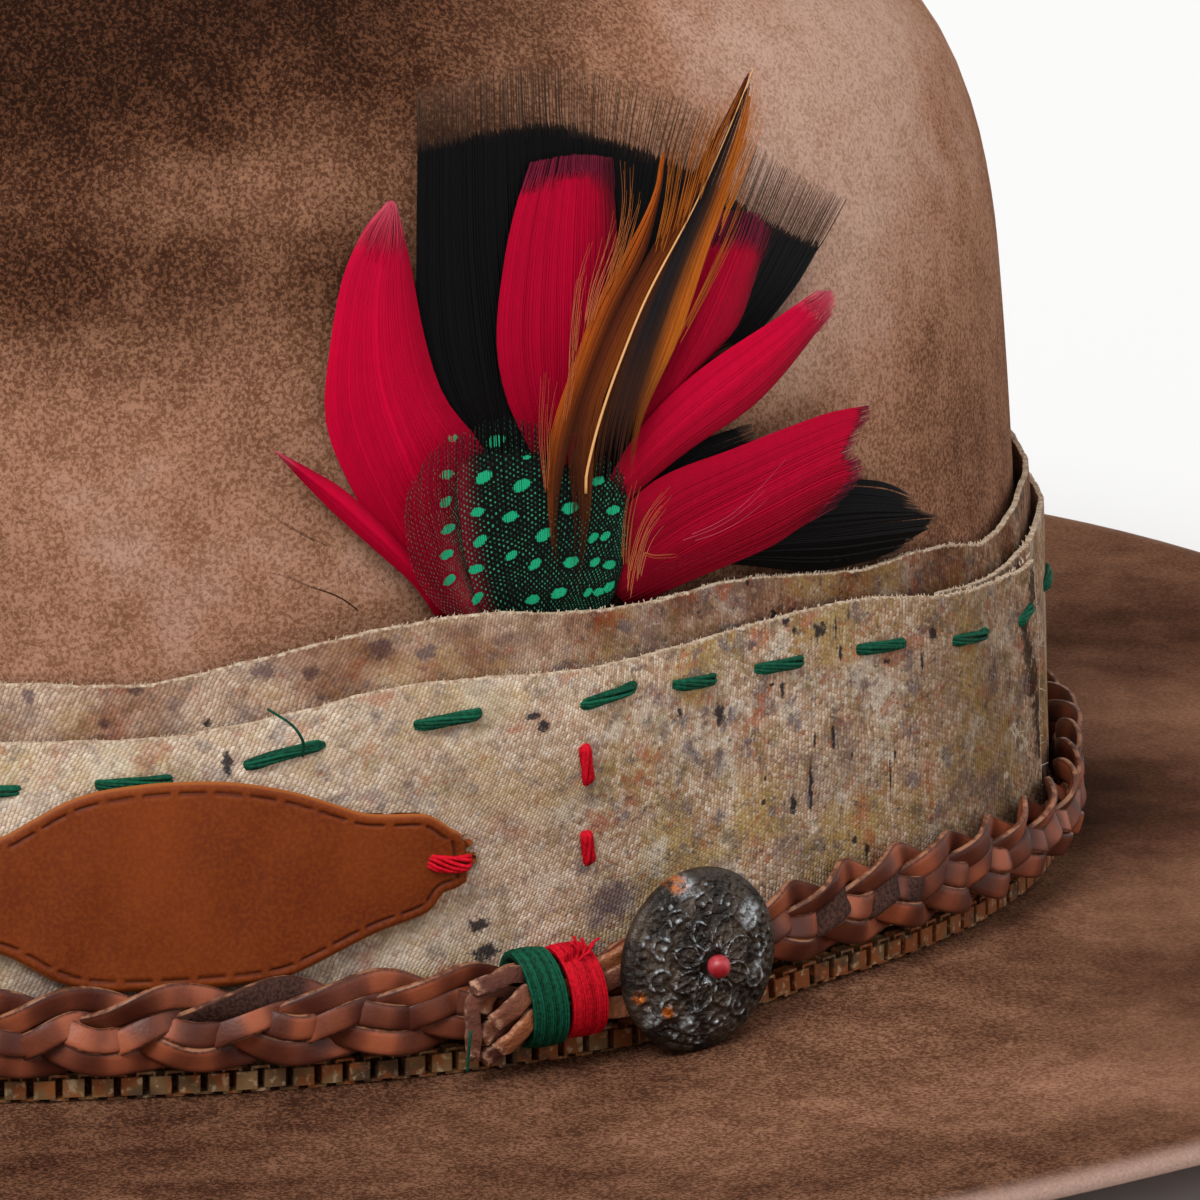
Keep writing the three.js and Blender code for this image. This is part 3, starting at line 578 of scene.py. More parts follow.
# Frayed ends: short bits of thread that stand out of the canvas's torn edges, with longer ones at the
# lap's cut end.
def ring_mesh(name, rings, closed=False):
    """One mesh of many like tubes, each a row of rings of points: tubes x rings x sides x 3."""
    tubes, rows, sides, _ = rings.shape
    index = np.arange(tubes * rows * sides).reshape(tubes, rows, sides)
    near = index if closed else index[:, :-1]
    far = np.roll(index, -1, 1) if closed else index[:, 1:]
    quads = np.stack([near, np.roll(near, -1, 2), np.roll(far, -1, 2), far], -1).reshape(tubes, -1, 4)
    corner = rings.reshape(-1, 3)
    a, b, c, d = (corner[quads[:, :, i]] for i in range(4))
    middle = rings.reshape(tubes, -1, 3).mean(1)[:, None]
    volume = ((a - middle) * np.cross(b - middle, d - middle)).sum(-1).sum(1)
    volume += ((b - middle) * np.cross(c - middle, d - middle)).sum(-1).sum(1)
    quads[volume < 0] = quads[volume < 0][:, :, ::-1]
    faces = [quads.reshape(-1, 4)]
    if not closed:
        for end in (index[:, 0, ::-1], index[:, -1]):
            caps = end.copy()
            caps[volume < 0] = caps[volume < 0][:, ::-1]
            faces.append(caps)
    mesh = bpy.data.meshes.new(name)
    mesh.vertices.add(len(corner))
    mesh.vertices.foreach_set("co", corner.astype(np.float32).ravel())
    corners = np.concatenate([face.ravel() for face in faces]).astype(np.int32)
    sizes = np.concatenate([np.full(len(face), face.shape[1]) for face in faces])
    mesh.loops.add(len(corners))
    mesh.loops.foreach_set("vertex_index", corners)
    mesh.polygons.add(len(sizes))
    mesh.polygons.foreach_set("loop_start", np.concatenate([[0], np.cumsum(sizes)[:-1]]).astype(np.int32))
    mesh.update(calc_edges=True)
    mesh.validate()
    piece = bpy.data.objects.new(name, mesh)
    bpy.context.collection.objects.link(piece)
    deselect_all()
    piece.select_set(True)
    bpy.context.view_layer.objects.active = piece
    bpy.ops.object.shade_smooth()
    return piece


def unit(vectors):
    return vectors / np.maximum(np.linalg.norm(vectors, axis=-1, keepdims=True), 1e-9)


def tube_rings(path, wide, thick, sides, roll=0.0, flat_power=1.0, facing=(0, 0, 1)):
    """Rings round paths laid on the wall: paths are tubes x points x (along, up, out) in millimetres."""
    ahead = unit(np.gradient(path, axis=1))
    across = unit(np.cross(np.broadcast_to(facing, path.shape), ahead))
    lift = np.cross(ahead, across)
    cos_roll, sin_roll = np.cos(roll)[..., None], np.sin(roll)[..., None]
    across, lift = across * cos_roll + lift * sin_roll, lift * cos_roll - across * sin_roll
    round_it = (np.arange(sides) + 0.5) * TURN / sides
    side = np.sign(np.cos(round_it)) * np.abs(np.cos(round_it)) ** flat_power
    top = np.sign(np.sin(round_it)) * np.abs(np.sin(round_it)) ** flat_power
    wide, thick = (np.broadcast_to(size, path.shape[:2])[..., None, None] for size in (wide, thick))
    ring = path[:, :, None] + across[:, :, None] * wide * side[:, None]
    ring = ring + lift[:, :, None] * thick * top[:, None]
    return on_wall(ring[..., 0] * MM, ring[..., 1] * MM, ring[..., 2] * MM)


chance = np.random.default_rng(7)
FRAY_PITCH = 0.36
FRAY_LENGTH = (0.22, 0.48)
FRAY_HALF = 0.10
FRAY_SIDES = 3
END_FRAYS = 60
TORN_AT = [(112.6, 18.0), (114.0, 16.8), (115.2, 15.6)]
TORN_EACH = 5
frays = []
share = np.linspace(0, 1, 3)
for column, out_of, first, last in (
    (INNER_TOP, lambda along: INNER_OUT, 0, GIRTH / MM),
    (OUTER_TOP, lambda along: OUTER_OUT + lap_lift(along), LAP_START, LAP_END),
):
    count = int((last - first) / FRAY_PITCH)
    along = np.sort(chance.uniform(first, last, count))
    top = band_top(column, along) - 0.18
    out = out_of(along) + CANVAS / 2 + tuck(along, top)
    reach = chance.uniform(*FRAY_LENGTH, count)
    lean = chance.normal(0.25, 0.3, count)
    bow = chance.normal(0, 0.12, count)
    path = np.stack([
        along[:, None] + lean[:, None] * share * reach[:, None],
        top[:, None] + share * reach[:, None],
        out[:, None] + bow[:, None] * share,
    ], -1)
    half = FRAY_HALF * (1 - 0.6 * share)
    frays.append(tube_rings(path, half, half, FRAY_SIDES))
up = chance.uniform(BAND_FOOT, 31, END_FRAYS)
reach = chance.uniform(0.3, 1.4, END_FRAYS) + 1.2 * (chance.random(END_FRAYS) > 0.85)
path = np.stack([
    LAP_END + share * reach[:, None] - 0.2,
    up[:, None] + chance.normal(0, 0.5, END_FRAYS)[:, None] * share,
    LAP_OUT + 0.4 + tuck(LAP_END, up)[:, None] + chance.normal(0.1, 0.3, END_FRAYS)[:, None] * share,
], -1)
half = FRAY_HALF * (1 - 0.5 * share)
frays.append(tube_rings(path, half, half, FRAY_SIDES))
torn_count = len(TORN_AT) * TORN_EACH
torn = np.repeat(np.array(TORN_AT), TORN_EACH, 0) + chance.normal(0, 0.4, (torn_count, 2))
path = np.stack([
    GIRTH / MM + torn[:, :1] + chance.normal(0.2, 0.6, (torn_count, 1)) * share,
    torn[:, 1:] + chance.normal(-0.4, 0.5, (torn_count, 1)) * share,
    LAP_OUT + CANVAS + 0.02 + 0.5 * np.sin(share * 2.2) * chance.uniform(0.3, 1.0, (torn_count, 1)),
], -1)
half = np.full(len(share), FRAY_HALF * 0.7)
frays.append(tube_rings(path, half, half, FRAY_SIDES))
canvas_frays = ring_mesh("canvas_frays", np.concatenate(frays))
pale_thread, tree = new_finish("pale_thread", Roughness=0.9, Specular_IOR_Level=0.1)
paint(tree, Base_Color=mix(tree, noise(tree, place_of(tree), 900, 2), tint("A88C72"), tint("E0D0BA")))
canvas_frays.data.materials.append(pale_thread)
fasten(canvas_frays, "canvas")

# Running stitches: green waxed thread of several strands, sewn by hand through both turns of the band, with
# two red ones and one that holds the label's tip. Each dives into the cloth at both ends.
GREEN_STITCHES = [
    (-1.5, 26.8, 5.0, 27.2), (10.9, 27.3, 17.7, 27.6), (23.4, 28.4, 30.7, 30.3), (37.6, 31.5, 43.1, 32.5),
    (51.4, 32.1, 57.8, 33.2), (62.0, 32.3, 67.6, 32.0), (72.5, 31.8, 79.2, 31.5), (86.2, 31.0, 93.0, 30.5),
    (99.5, 29.3, 107.1, 28.7), (114.2, 27.6, 118.8, 28.4),
]
RED_STITCHES = [(52.2, 28.8, 53.4, 24.3), (53.6, 20.2, 54.5, 16.6)]
LABEL_STITCH = (38.6, 19.3, 42.6, 18.9)
FAR_SIDE = {"count": 30, "from": 136, "up": 26.6, "pitch": 15.2, "length": 7.0}
STRAND = {"count": 7, "half": 0.19, "spread": 0.40, "turns": 0.3, "sides": 6}
for number in range(FAR_SIDE["count"]):
    at = FAR_SIDE["from"] + number * FAR_SIDE["pitch"]
    low, high = FAR_SIDE["up"] + math.sin(at), FAR_SIDE["up"] + math.sin(at + 2)
    GREEN_STITCHES.append((at, low, at + FAR_SIDE["length"], high))


def outer_face(along, up):
    """The outer turn's face, in millimetres from the felt, with its end lying over its start."""
    lapped = np.where(along < LAP_END - GIRTH / MM, along + GIRTH / MM, along)
    return OUTER_OUT + CANVAS + lap_lift(lapped) + tuck(along, up) + slack(along, up)


def thread_piece(name, rings, tones, finish, slot, *cad_nodes):
    """Thread as one piece, with a lighter or darker tone for each ring of it."""
    piece = ring_mesh(name, rings)
    give(piece, "tone", np.broadcast_to(tones[..., None], rings.shape[:3]))
    piece.data.materials.append(finish)
    fasten(piece, slot, *cad_nodes)


def stitches(name, ends, lift, spread, finish, slot):
    """Bundles of strands that bow up between the two holes of each stitch."""
    share = np.linspace(0, 1, 17)
    bow = np.clip(np.minimum(share, 1 - share) / 0.16, 0, 1) ** 0.6
    paths = []
    for a, b, c, d in ends:
        along, up = a + (c - a) * share, b + (d - b) * share
        way = unit(np.array([c - a, d - b]))
        sag = 0.25 * np.sin(math.pi * share) * chance.normal(0, 0.6)
        base = outer_face(along, up) + lift - 0.45 + 0.75 * bow
        for strand in range(STRAND["count"]):
            twist = STRAND["turns"] * share * chance.uniform(0.7, 1.3)
            phase = TURN * (strand / STRAND["count"] + twist)
            side = spread * np.cos(phase) * (0.45 + 0.55 * bow) + sag
            high = 0.28 * np.sin(phase) * bow
            paths.append(np.stack([along - way[1] * side, up + way[0] * side, base + high], -1))
    rings = tube_rings(np.array(paths), STRAND["half"], STRAND["half"], STRAND["sides"])
    thread_piece(name, rings, chance.random((len(paths), 1)) * np.ones_like(share), finish, slot)


def thread_finish(name, deep, bright):
    finish, tree = new_finish(name, Roughness=0.7, Specular_IOR_Level=0.12)
    fibres = noise(tree, place_of(tree), 3000, 2)
    share = calc(tree, "MULTIPLY", fit(tree, fibres, 0.3, 0.7), 0.5)
    share = calc(tree, "MULTIPLY_ADD", own(tree, "tone"), 0.5, share)
    colour = mix(tree, share, tint(deep), tint(bright))
    paint(tree, Base_Color=colour, Normal=bumps(tree, fibres, 0.5, 0.0001))
    return finish


green_thread = thread_finish("green_waxed_thread", "062A1C", "135F45")
red_thread = thread_finish("red_waxed_thread", "980012", "E0142A")
stitches("green_stitches", GREEN_STITCHES, 0, STRAND["spread"], green_thread, "green_thread")
stitches("red_stitches", RED_STITCHES, 0, STRAND["spread"], red_thread, "red_thread")
LOOSE_END = [(27.6, 29.9, 6.2), (27.2, 31.6, 7.6), (26.2, 33.2, 8.0), (24.4, 34.6, 7.4)]
END_STEPS = 16


def smooth_path(points, shares):
    """Places along a curve through a short list of points, spread evenly by length."""
    points = np.asarray(points, float)
    length = np.concatenate([[0], np.cumsum(np.linalg.norm(np.diff(points, axis=0), axis=1))])
    return np.stack([read(length, points[:, k], shares * length[-1]) for k in range(points.shape[1])], -1)


def loose_thread(name, points, half, tone, finish, slot):
    """One loose end of thread through a few points."""
    path = smooth_path(points, np.linspace(0, 1, END_STEPS))[None]
    rings = tube_rings(path, half, half, STRAND["sides"])
    thread_piece(name, rings, np.full((1, END_STEPS), tone), finish, slot)


loose_thread("loose_green_thread", LOOSE_END, 0.13, 0.4, green_thread, "green_thread")

# Leather label: a tab of oiled leather with stepped ends and a plain face, sewn on with a running groove
# near its edge.
LABEL = {"along": 19.5, "up": 18.2, "thick": 1.3, "groove": 1.0, "stitch": 3.1, "columns": 300, "rows": 100}
LABEL_TOP = np.array([
    (-24.5, 1.0), (-23.8, 2.6), (-21.9, 3.2), (-21, 4.2), (-19.6, 4.8), (-16.8, 5.0), (-14, 6.5),
    (-11.2, 8.0), (-8.4, 8.9), (-4.2, 9.4), (0, 9.4), (4.2, 9.0), (8.5, 7.9), (11.1, 6.9), (13.6, 5.9),
    (15.8, 5.6), (18.9, 5.4), (20.0, 4.8), (21.1, 3.9), (22.1, 3.2), (22.6, 1.4), (22.9, -0.6),
])
LABEL_FOOT = np.array([
    (-24.5, -1.2), (-23.8, -3.0), (-21.9, -3.6), (-21, -4.6), (-19.6, -5.4), (-16.9, -5.4), (-12, -8.2),
    (-8.7, -9.1), (3, -9.1), (6.6, -8.8), (8.3, -8.3), (11.8, -6.7), (15.3, -5.2), (19.2, -4.1), (20.4, -3.2),
    (20.6, -2.4), (22.2, -1.8), (22.9, -1.2),
])
outline_at = np.linspace(LABEL_TOP[0, 0], LABEL_TOP[-1, 0], 480)
blade = np.hanning(13)[1:-1]


def rounded(outline):
    """The outline with its corners eased, as a knife leaves them."""
    line = np.pad(read(outline[:, 0], outline[:, 1], outline_at), len(blade) // 2, mode="edge")
    return np.convolve(line, blade / blade.sum(), "valid")


bpy.ops.mesh.primitive_grid_add(x_subdivisions=LABEL["columns"], y_subdivisions=LABEL["rows"], size=2)
label = bpy.context.object
label.name = "leather_tab"
flat = points_of(label).astype(float)
at = outline_at[0] + (flat[:, 0] + 1) / 2 * (outline_at[-1] - outline_at[0])
label_top, label_foot = rounded(LABEL_TOP), rounded(LABEL_FOOT)
top, bottom = np.interp(at, outline_at, label_top), np.interp(at, outline_at, label_foot)
tab_up = bottom + (flat[:, 1] + 1) / 2 * (top - bottom)
end_rise = np.linspace(0, 1, 24)[:, None]
label_ends = ((-1, label_top), (-1, label_foot), (0, label_foot), (0, label_top))
corners = [np.array([outline_at[i], line[i]]) for i, line in label_ends]
rim = np.concatenate([
    np.stack([outline_at, label_top], -1),
    corners[0] + (corners[1] - corners[0]) * end_rise,
    np.stack([outline_at, label_foot], -1)[::-1],
    corners[2] + (corners[3] - corners[2]) * end_rise,
])
rim_length = np.concatenate([[0], np.cumsum(np.linalg.norm(np.diff(rim, axis=0), axis=1))])
nearest_rim = np.array([np.argmin(np.hypot(rim[:, 0] - x, rim[:, 1] - y)) for x, y in zip(at, tab_up)])
from_rim = np.hypot(at - rim[nearest_rim, 0], tab_up - rim[nearest_rim, 1])
in_stitch = 1 - smooth_step(np.abs((rim_length[nearest_rim] / LABEL["stitch"]) % 1 - 0.5), 0.36, 0.42)
groove = np.exp(-(((from_rim - LABEL["groove"]) / 0.15) ** 2)) * in_stitch
edge_round = 0.45 * np.clip(1 - from_rim / 0.5, 0, 1) ** 2
along, up = LABEL["along"] + at, LABEL["up"] + tab_up
out = outer_face(along, up) + 0.35 + LABEL["thick"] - edge_round - 0.2 * groove
front = on_wall(along * MM, up * MM, out * MM)
label.data.vertices.foreach_set("co", front.astype(np.float32).ravel())
give(label, "groove", groove)
give(label, "from_rim", from_rim)
leather_finish, tree = new_finish("oiled_leather", Roughness=0.62, Specular_IOR_Level=0.2)
spot = place_of(tree)
cloud = noise(tree, spot, 70, 3)
pores = noise(tree, spot, 2600, 2)
colour = mix(tree, fit(tree, cloud, 0.35, 0.68), tint("682807"), tint("7E360C"))
colour = mix(tree, fit(tree, pores, 0.35, 0.7, 0.0, 0.35), colour, tint("944812"))
colour = mix(tree, fit(tree, own(tree, "from_rim"), 0.10, 0.34, 0.8, 0.0), colour, tint("A05A26"))
colour = mix(tree, own(tree, "groove"), colour, tint("4E1E0A"))
grain = calc(tree, "MULTIPLY_ADD", pores, 0.5, cloud)
paint(tree, Base_Color=colour, Normal=bumps(tree, grain, 0.35, 0.0002))
label.data.materials.append(leather_finish)
thicken(label, (LABEL["thick"] - 0.1) * MM, -1)
bpy.ops.object.shade_smooth_by_angle(angle=math.radians(40))
fasten(label, "label_leather", "leather_label")
stitches("label_stitch", [LABEL_STITCH], 1.5, 0.62, red_thread, "red_thread")

# Plaited cord: three pairs of soft leather laces plaited flat, laid once round the crown over the foot of
# the band. It runs from behind the button round to the whipping.
PLAIT = np.array([
    (65.4, 7.4, 4.5, 2.4), (72, 8.0, 4.6, 3.3), (86, 8.8, 4.6, 3.6), (106, 8.1, 5.5, 3.6),
    (122, 7.9, 5.6, 3.5), (136, 7.8, 4.5, 3.5), (220, 7.7, 4.5, 3.5), (300, 6.2, 4.5, 3.4),
    (450, 6.1, 4.5, 3.4), (570, 6.0, 4.6, 3.4), (594, 6.0, 5.1, 3.5), (639, 6.1, 5.1, 3.5),
    (646, 6.1, 4.9, 2.9), (654, 6.4, 4.9, 2.9), (660.3, 7.4, 4.6, 2.4),
])
LACE_STOPS = [(0.0, "4E2216"), (0.4, "683422"), (0.7, "80422C"), (1.0, "A4583A")]
LOBES = np.array([(60, -2.04), (102, 4), (609.4, 71), (665, 77.8)])
LACE = {"swing": 1.75, "dip": 0.95, "pair": 1.06, "half": 1.16, "thick": 0.38, "step": 0.6, "sides": 12}
TURNED_OVER = [(2, 1, 72.0, 73.4), (2, -1, 0.1, 1.2), (1, -1, 1.1, 2.1), (2, 1, 1.9, 2.7), (0, 1, 75.6, 76.3)]
for number in range(8, 66, 6):
    TURNED_OVER.append((number % 3, 1 - 2 * (number % 2), number, number + 1.3))
at = np.arange(PLAIT[0, 0], PLAIT[-1, 0], LACE["step"])
line_up, line_out, line_high = (read(PLAIT[:, 0], PLAIT[:, column], at) for column in (1, 2, 3))
size = line_high / 3.5
lobe = np.interp(at, LOBES[:, 0], LOBES[:, 1])
paths, rolls, suede, hues = [], [], [], []
for strand in range(3):
    phase = TURN * (lobe / 3 + strand / 3 + 0.25)
    across = LACE["swing"] * (np.sin(phase) - 0.2 * np.cos(phase) ** 2)
    deep = LACE["dip"] * np.sin(2 * phase)
    way = unit(np.stack([np.ones_like(at), np.gradient(across, at)], -1))
    for side in (-1, 1):
        wander = 0.12 * np.sin(at * 0.37 + strand * 2 + side) + 0.08 * np.sin(at * 0.91 + strand)
        shift = (side * LACE["pair"] + wander) * size
        lift = 0.12 * np.sin(at * 0.53 + 2.2 * strand + side)
        paths.append(np.stack([
            at - way[:, 1] * shift,
            line_up + across * size + way[:, 0] * shift,
            line_out + (deep + lift) * size,
        ], -1))
        rolls.append(0.30 * side * np.cos(phase) + 0.22 * np.sin(at * 0.44 + strand * 1.7 + side * 2.1))
        turned = np.zeros_like(at)
        for which, edge, first, last in TURNED_OVER:
            if which == strand and edge == side:
                over = smooth_step(lobe, first, first + 0.12) - smooth_step(lobe, last - 0.12, last)
                turned = np.maximum(turned, over)
        suede.append(turned)
        hue = 0.5 + 0.35 * np.sin(at * 0.62 + strand * 2.6 + side * 1.1)
        hues.append(hue + 0.25 * np.sin(at * 1.7 + side * 3))
thick = LACE["thick"] * np.broadcast_to(size, (len(paths), len(at)))
rings = tube_rings(np.array(paths), LACE["half"] * size[None], thick, LACE["sides"], np.array(rolls), 0.55)
laces = ring_mesh("plaited_laces", rings)
round_it = (np.arange(LACE["sides"]) + 0.5) * TURN / LACE["sides"]
shape = (len(paths), len(at), LACE["sides"])
give(laces, "suede", np.broadcast_to(np.array(suede)[..., None], shape))
give(laces, "hue", np.broadcast_to(np.array(hues)[..., None], shape))
give(laces, "cut", np.broadcast_to(np.abs(np.cos(round_it)) ** 3, shape))
lace_finish, tree = new_finish("plaited_leather", Roughness=0.46, Specular_IOR_Level=0.34)
spot = place_of(tree)
patina = noise(tree, spot, 260, 2, 0.5)
pores = noise(tree, spot, 3200, 2)
hue = calc(tree, "MULTIPLY_ADD", calc(tree, "SUBTRACT", patina, 0.5), 0.9, own(tree, "hue"))
smooth_side = ramp(tree, fit(tree, hue, -0.1, 1.1), LACE_STOPS)
rough_side = mix(tree, fit(tree, pores, 0.35, 0.65), tint("2A1510"), tint("4E3026"))
colour = mix(tree, own(tree, "suede"), smooth_side, rough_side)
rubbed = fit(tree, noise(tree, spot, 700, 2), 0.40, 0.60, 0.1, 0.75)
rubbed = calc(tree, "MULTIPLY", fit(tree, own(tree, "cut"), 0.6, 0.95), rubbed)
# Painted shade: a dark line along the edges of each lace, where it meets its neighbours.
edge_shade_line = fit(tree, pores, 0.3, 0.6, 0.45, 0.9)
edge_shade_line = calc(tree, "MULTIPLY", fit(tree, own(tree, "cut"), 0.18, 0.50), edge_shade_line)
colour = mix(tree, edge_shade_line, colour, tint("3E1E14"))
colour = mix(tree, rubbed, colour, tint("B07A5A"))
paint(
    tree,
    Base_Color=colour,
    Roughness=fit(tree, own(tree, "suede"), 0, 1, 0.44, 0.9),
    Normal=bumps(tree, calc(tree, "MULTIPLY_ADD", pores, 0.4, patina), 0.4, 0.0002),
)
laces.data.materials.append(lace_finish)
fasten(laces, "plait_leather", "leather_plait")

# Cut ends: where the plait is folded back and whipped, its lace ends stick out ragged at the left, and the
# fold's laces run up behind the button at the right.
CUT_LACES = [
    (0.78, 0.34, [
        (50.5, 8.0, 5.6), (47.0, 8.3, 6.6), (45.6, 8.8, 7.3),
        (44.2, 9.1, 8.0), (42.8, 8.7, 8.2), (40.9, 8.2, 7.9),
    ]),
    (0.86, 0.36, [
        (50.5, 6.6, 6.2), (47.4, 7.0, 7.2), (45.8, 7.2, 7.9),
        (45.0, 6.9, 8.4), (44.0, 6.1, 8.6), (42.5, 4.9, 8.3),
    ]),
    (0.92, 0.36, [
        (50.5, 4.6, 6.0), (47.6, 5.0, 7.2), (46.1, 5.0, 7.9),
        (45.2, 4.3, 8.4), (44.0, 3.2, 8.5), (43.0, 2.4, 8.2),
    ]),
    (0.62, 0.42, [
        (49.5, 6.0, 5.4), (45.6, 6.8, 6.6), (42.8, 7.7, 7.2),
        (41.2, 7.0, 7.6), (41.1, 4.4, 7.7), (41.2, 1.6, 7.4),
    ]),
    (0.86, 0.42, [(49.5, 7.6, 5.2), (45.4, 8.6, 6.0), (43.0, 7.4, 6.7), (42.0, 5.6, 6.9)]),
    (0.86, 0.42, [(50.0, 3.6, 5.2), (46.0, 2.8, 6.3), (44.0, 2.2, 6.9), (42.3, 1.3, 6.9)]),
    (0.95, 0.42, [(50.0, 5.6, 5.2), (45.8, 5.4, 6.4), (43.8, 4.4, 7.0), (42.0, 3.4, 7.2)]),
    (1.00, 0.36, [(52.2, 8.0, 6.8), (55.2, 9.2, 7.0), (58.0, 10.6, 6.3), (61.0, 11.6, 5.4)]),
    (0.95, 0.36, [(52.2, 6.8, 7.2), (55.2, 7.6, 7.4), (58.2, 8.4, 6.6), (61.0, 8.8, 5.6)]),
    (1.00, 0.36, [(52.2, 4.6, 6.8), (55.0, 4.4, 7.0), (58.2, 4.2, 6.2), (61.0, 4.6, 5.4)]),
]
LEFT_ENDS = 7
CUT_SIDES = 12
steps = np.linspace(0, 1, 34)
paths = np.array([smooth_path(points, steps) for _, _, points in CUT_LACES])
number = np.arange(len(paths))[:, None]
ragged = 1 + 0.06 * np.sin(steps * 31 + number * 2.3) * smooth_step(steps, 0.55, 0.9)
widths = np.array([half for half, _, _ in CUT_LACES])[:, None]
widths = widths * ragged * (1 - 0.12 * smooth_step(steps, 0.93, 1))
thicks = np.array([thick for _, thick, _ in CUT_LACES])[:, None] * (1 + 0.25 * (ragged - 1))
turns = 0.35 * np.sin(number * 1.9 + steps * 1.5)
rings = tube_rings(paths, widths, thicks, CUT_SIDES, turns, 0.5)
rings[:LEFT_ENDS, -3:] += chance.normal(0, 0.00005, rings[:LEFT_ENDS, -3:].shape)
cut_laces = ring_mesh("cut_lace_ends", rings)
round_it = (np.arange(CUT_SIDES) + 0.5) * TURN / CUT_SIDES
at_cut = np.where(number < LEFT_ENDS, smooth_step(steps, 0.90, 0.98), 0)[..., None]
give(cut_laces, "cut_face", np.maximum(at_cut, 0.75 * np.abs(np.cos(round_it)) ** 6))
give(cut_laces, "hue", np.broadcast_to((number * 0.41 % 1)[..., None], rings.shape[:3]))
end_finish, tree = new_finish("cut_leather", Roughness=0.82, Specular_IOR_Level=0.2)
spot = place_of(tree)
fibre = noise(tree, spot, 1500, 3, 0.6)
skin_tone = calc(tree, "MULTIPLY", noise(tree, spot, 500, 2), 0.4)
skin_tone = calc(tree, "MULTIPLY_ADD", own(tree, "hue"), 0.6, skin_tone)
skin = ramp(tree, skin_tone, [(0.15, "54302A"), (0.45, "764634"), (0.75, "A0603A")])
raw = mix(tree, fit(tree, fibre, 0.38, 0.64), tint("7A5040"), tint("C8987C"))
edge_share = calc(tree, "MULTIPLY", own(tree, "cut_face"), fit(tree, fibre, 0.35, 0.6, 0.3, 1.0))
paint(tree, Base_Color=mix(tree, edge_share, skin, raw), Normal=bumps(tree, fibre, 0.8, 0.0004))
cut_laces.data.materials.append(end_finish)
fasten(cut_laces, "plait_leather", "plait_cut_ends")

# Whippings: waxed thread wound tight round the folded cord, green and then red, over a plain core, with
# loose ends left on.
WHIP_OUT = 5.9
WHIP_THREAD = 0.125
WHIP_SKEW = 0.12
WHIP_STEPS = 30
BED_ENDS = np.array([0.985, 0.985, 0.86, 0.86])
WHIPPINGS = [
    {
        "name": "green_whipping", "node": "thread_wrap_green", "from": 45.9, "to": 49.0, "up": 6.1,
        "half": (4.34, 2.75), "turns": 16, "finish": green_thread, "slot": "green_thread",
    },
    {
        "name": "red_whipping", "node": "thread_wrap_red", "from": 49.5, "to": 52.6, "up": 6.3,
        "half": (4.09, 2.70), "turns": 16, "finish": red_thread, "slot": "red_thread",
    },
]
for whip in WHIPPINGS:
    share = np.linspace(0, 1, whip["turns"] * WHIP_STEPS)
    turn = TURN * whip["turns"] * share
    belly = 1 + 0.04 * (1 - (2 * share - 1) ** 2) + 0.006 * np.sin(share * 61 + turn * 0.13)
    high, deep = whip["half"][0] * belly * np.cos(turn), whip["half"][1] * belly * np.sin(turn)
    drift = 0.04 * np.sin(turn * 0.21)
    coil = np.stack([
        whip["from"] + (whip["to"] - whip["from"]) * share - WHIP_SKEW * high + drift,
        whip["up"] + high,
        WHIP_OUT + deep,
    ], -1)[None]
    turn_tones = chance.random(whip["turns"] + 1)[(turn / TURN).astype(int)][None]
    rings = tube_rings(coil, WHIP_THREAD, WHIP_THREAD, STRAND["sides"], facing=(1, 0, 0))
    thread_piece(whip["name"], rings, turn_tones, whip["finish"], whip["slot"], whip["node"])
    turn = np.linspace(0, TURN, 48, endpoint=False)[:, None]
    edge_along = np.array([whip["from"], whip["to"], whip["to"], whip["from"]])
    high, deep = whip["half"][0] * BED_ENDS * np.cos(turn), whip["half"][1] * BED_ENDS * np.sin(turn)
    sleeve = on_wall((edge_along - WHIP_SKEW * high) * MM, (whip["up"] + high) * MM, (WHIP_OUT + deep) * MM)
    bed = ring_mesh(whip["name"] + "_bed", sleeve[None], closed=True)
    give(bed, "tone", np.zeros(sleeve.shape[:2]))
    bed.data.materials.append(whip["finish"])
    fasten(bed, whip["slot"])
THREAD_ENDS = [
    ("green_thread_end", [(40.3, 4.7, 8.9), (40.2, 3.4, 8.8), (40.3, 2.0, 8.4), (40.4, 0.7, 8.0)], 0.12),
    ("red_tuft_1", [(49.8, 9.3, 7.6), (49.5, 10.2, 7.8), (49.0, 10.9, 7.6)], 0.13),
    ("red_tuft_2", [(50.0, 9.4, 7.6), (49.9, 10.4, 7.7), (50.2, 11.3, 7.5)], 0.13),
    ("red_tuft_3", [(50.3, 9.5, 7.6), (50.6, 10.4, 7.6), (50.4, 11.6, 7.2)], 0.13),
    ("red_tuft_4", [(50.6, 9.5, 7.5), (50.3, 10.6, 7.8), (49.7, 11.2, 7.9)], 0.13),
    ("red_tuft_5", [(50.9, 9.6, 7.5), (51.2, 10.5, 7.6), (51.0, 11.4, 7.4)], 0.13),
    ("red_tuft_6", [(51.2, 9.6, 7.5), (51.4, 10.2, 7.8), (52.0, 10.8, 7.6)], 0.13),
    ("red_tuft_7", [(49.6, 9.3, 7.5), (49.2, 9.9, 7.9), (49.3, 10.6, 8.0)], 0.12),
    ("red_tuft_8", [(50.4, 9.4, 7.7), (50.8, 10.0, 8.1), (51.4, 10.3, 8.1)], 0.12),
    ("red_tuft_9", [(51.6, 9.7, 7.3), (52.0, 10.6, 7.2), (52.9, 11.0, 7.0)], 0.12),
]
for name, points, half in THREAD_ENDS:
    if name.startswith("green"):
        loose_thread(name, points, half, 0.7, green_thread, "green_thread")
    else:
        loose_thread(name, points, half, 0.7, red_thread, "red_thread")

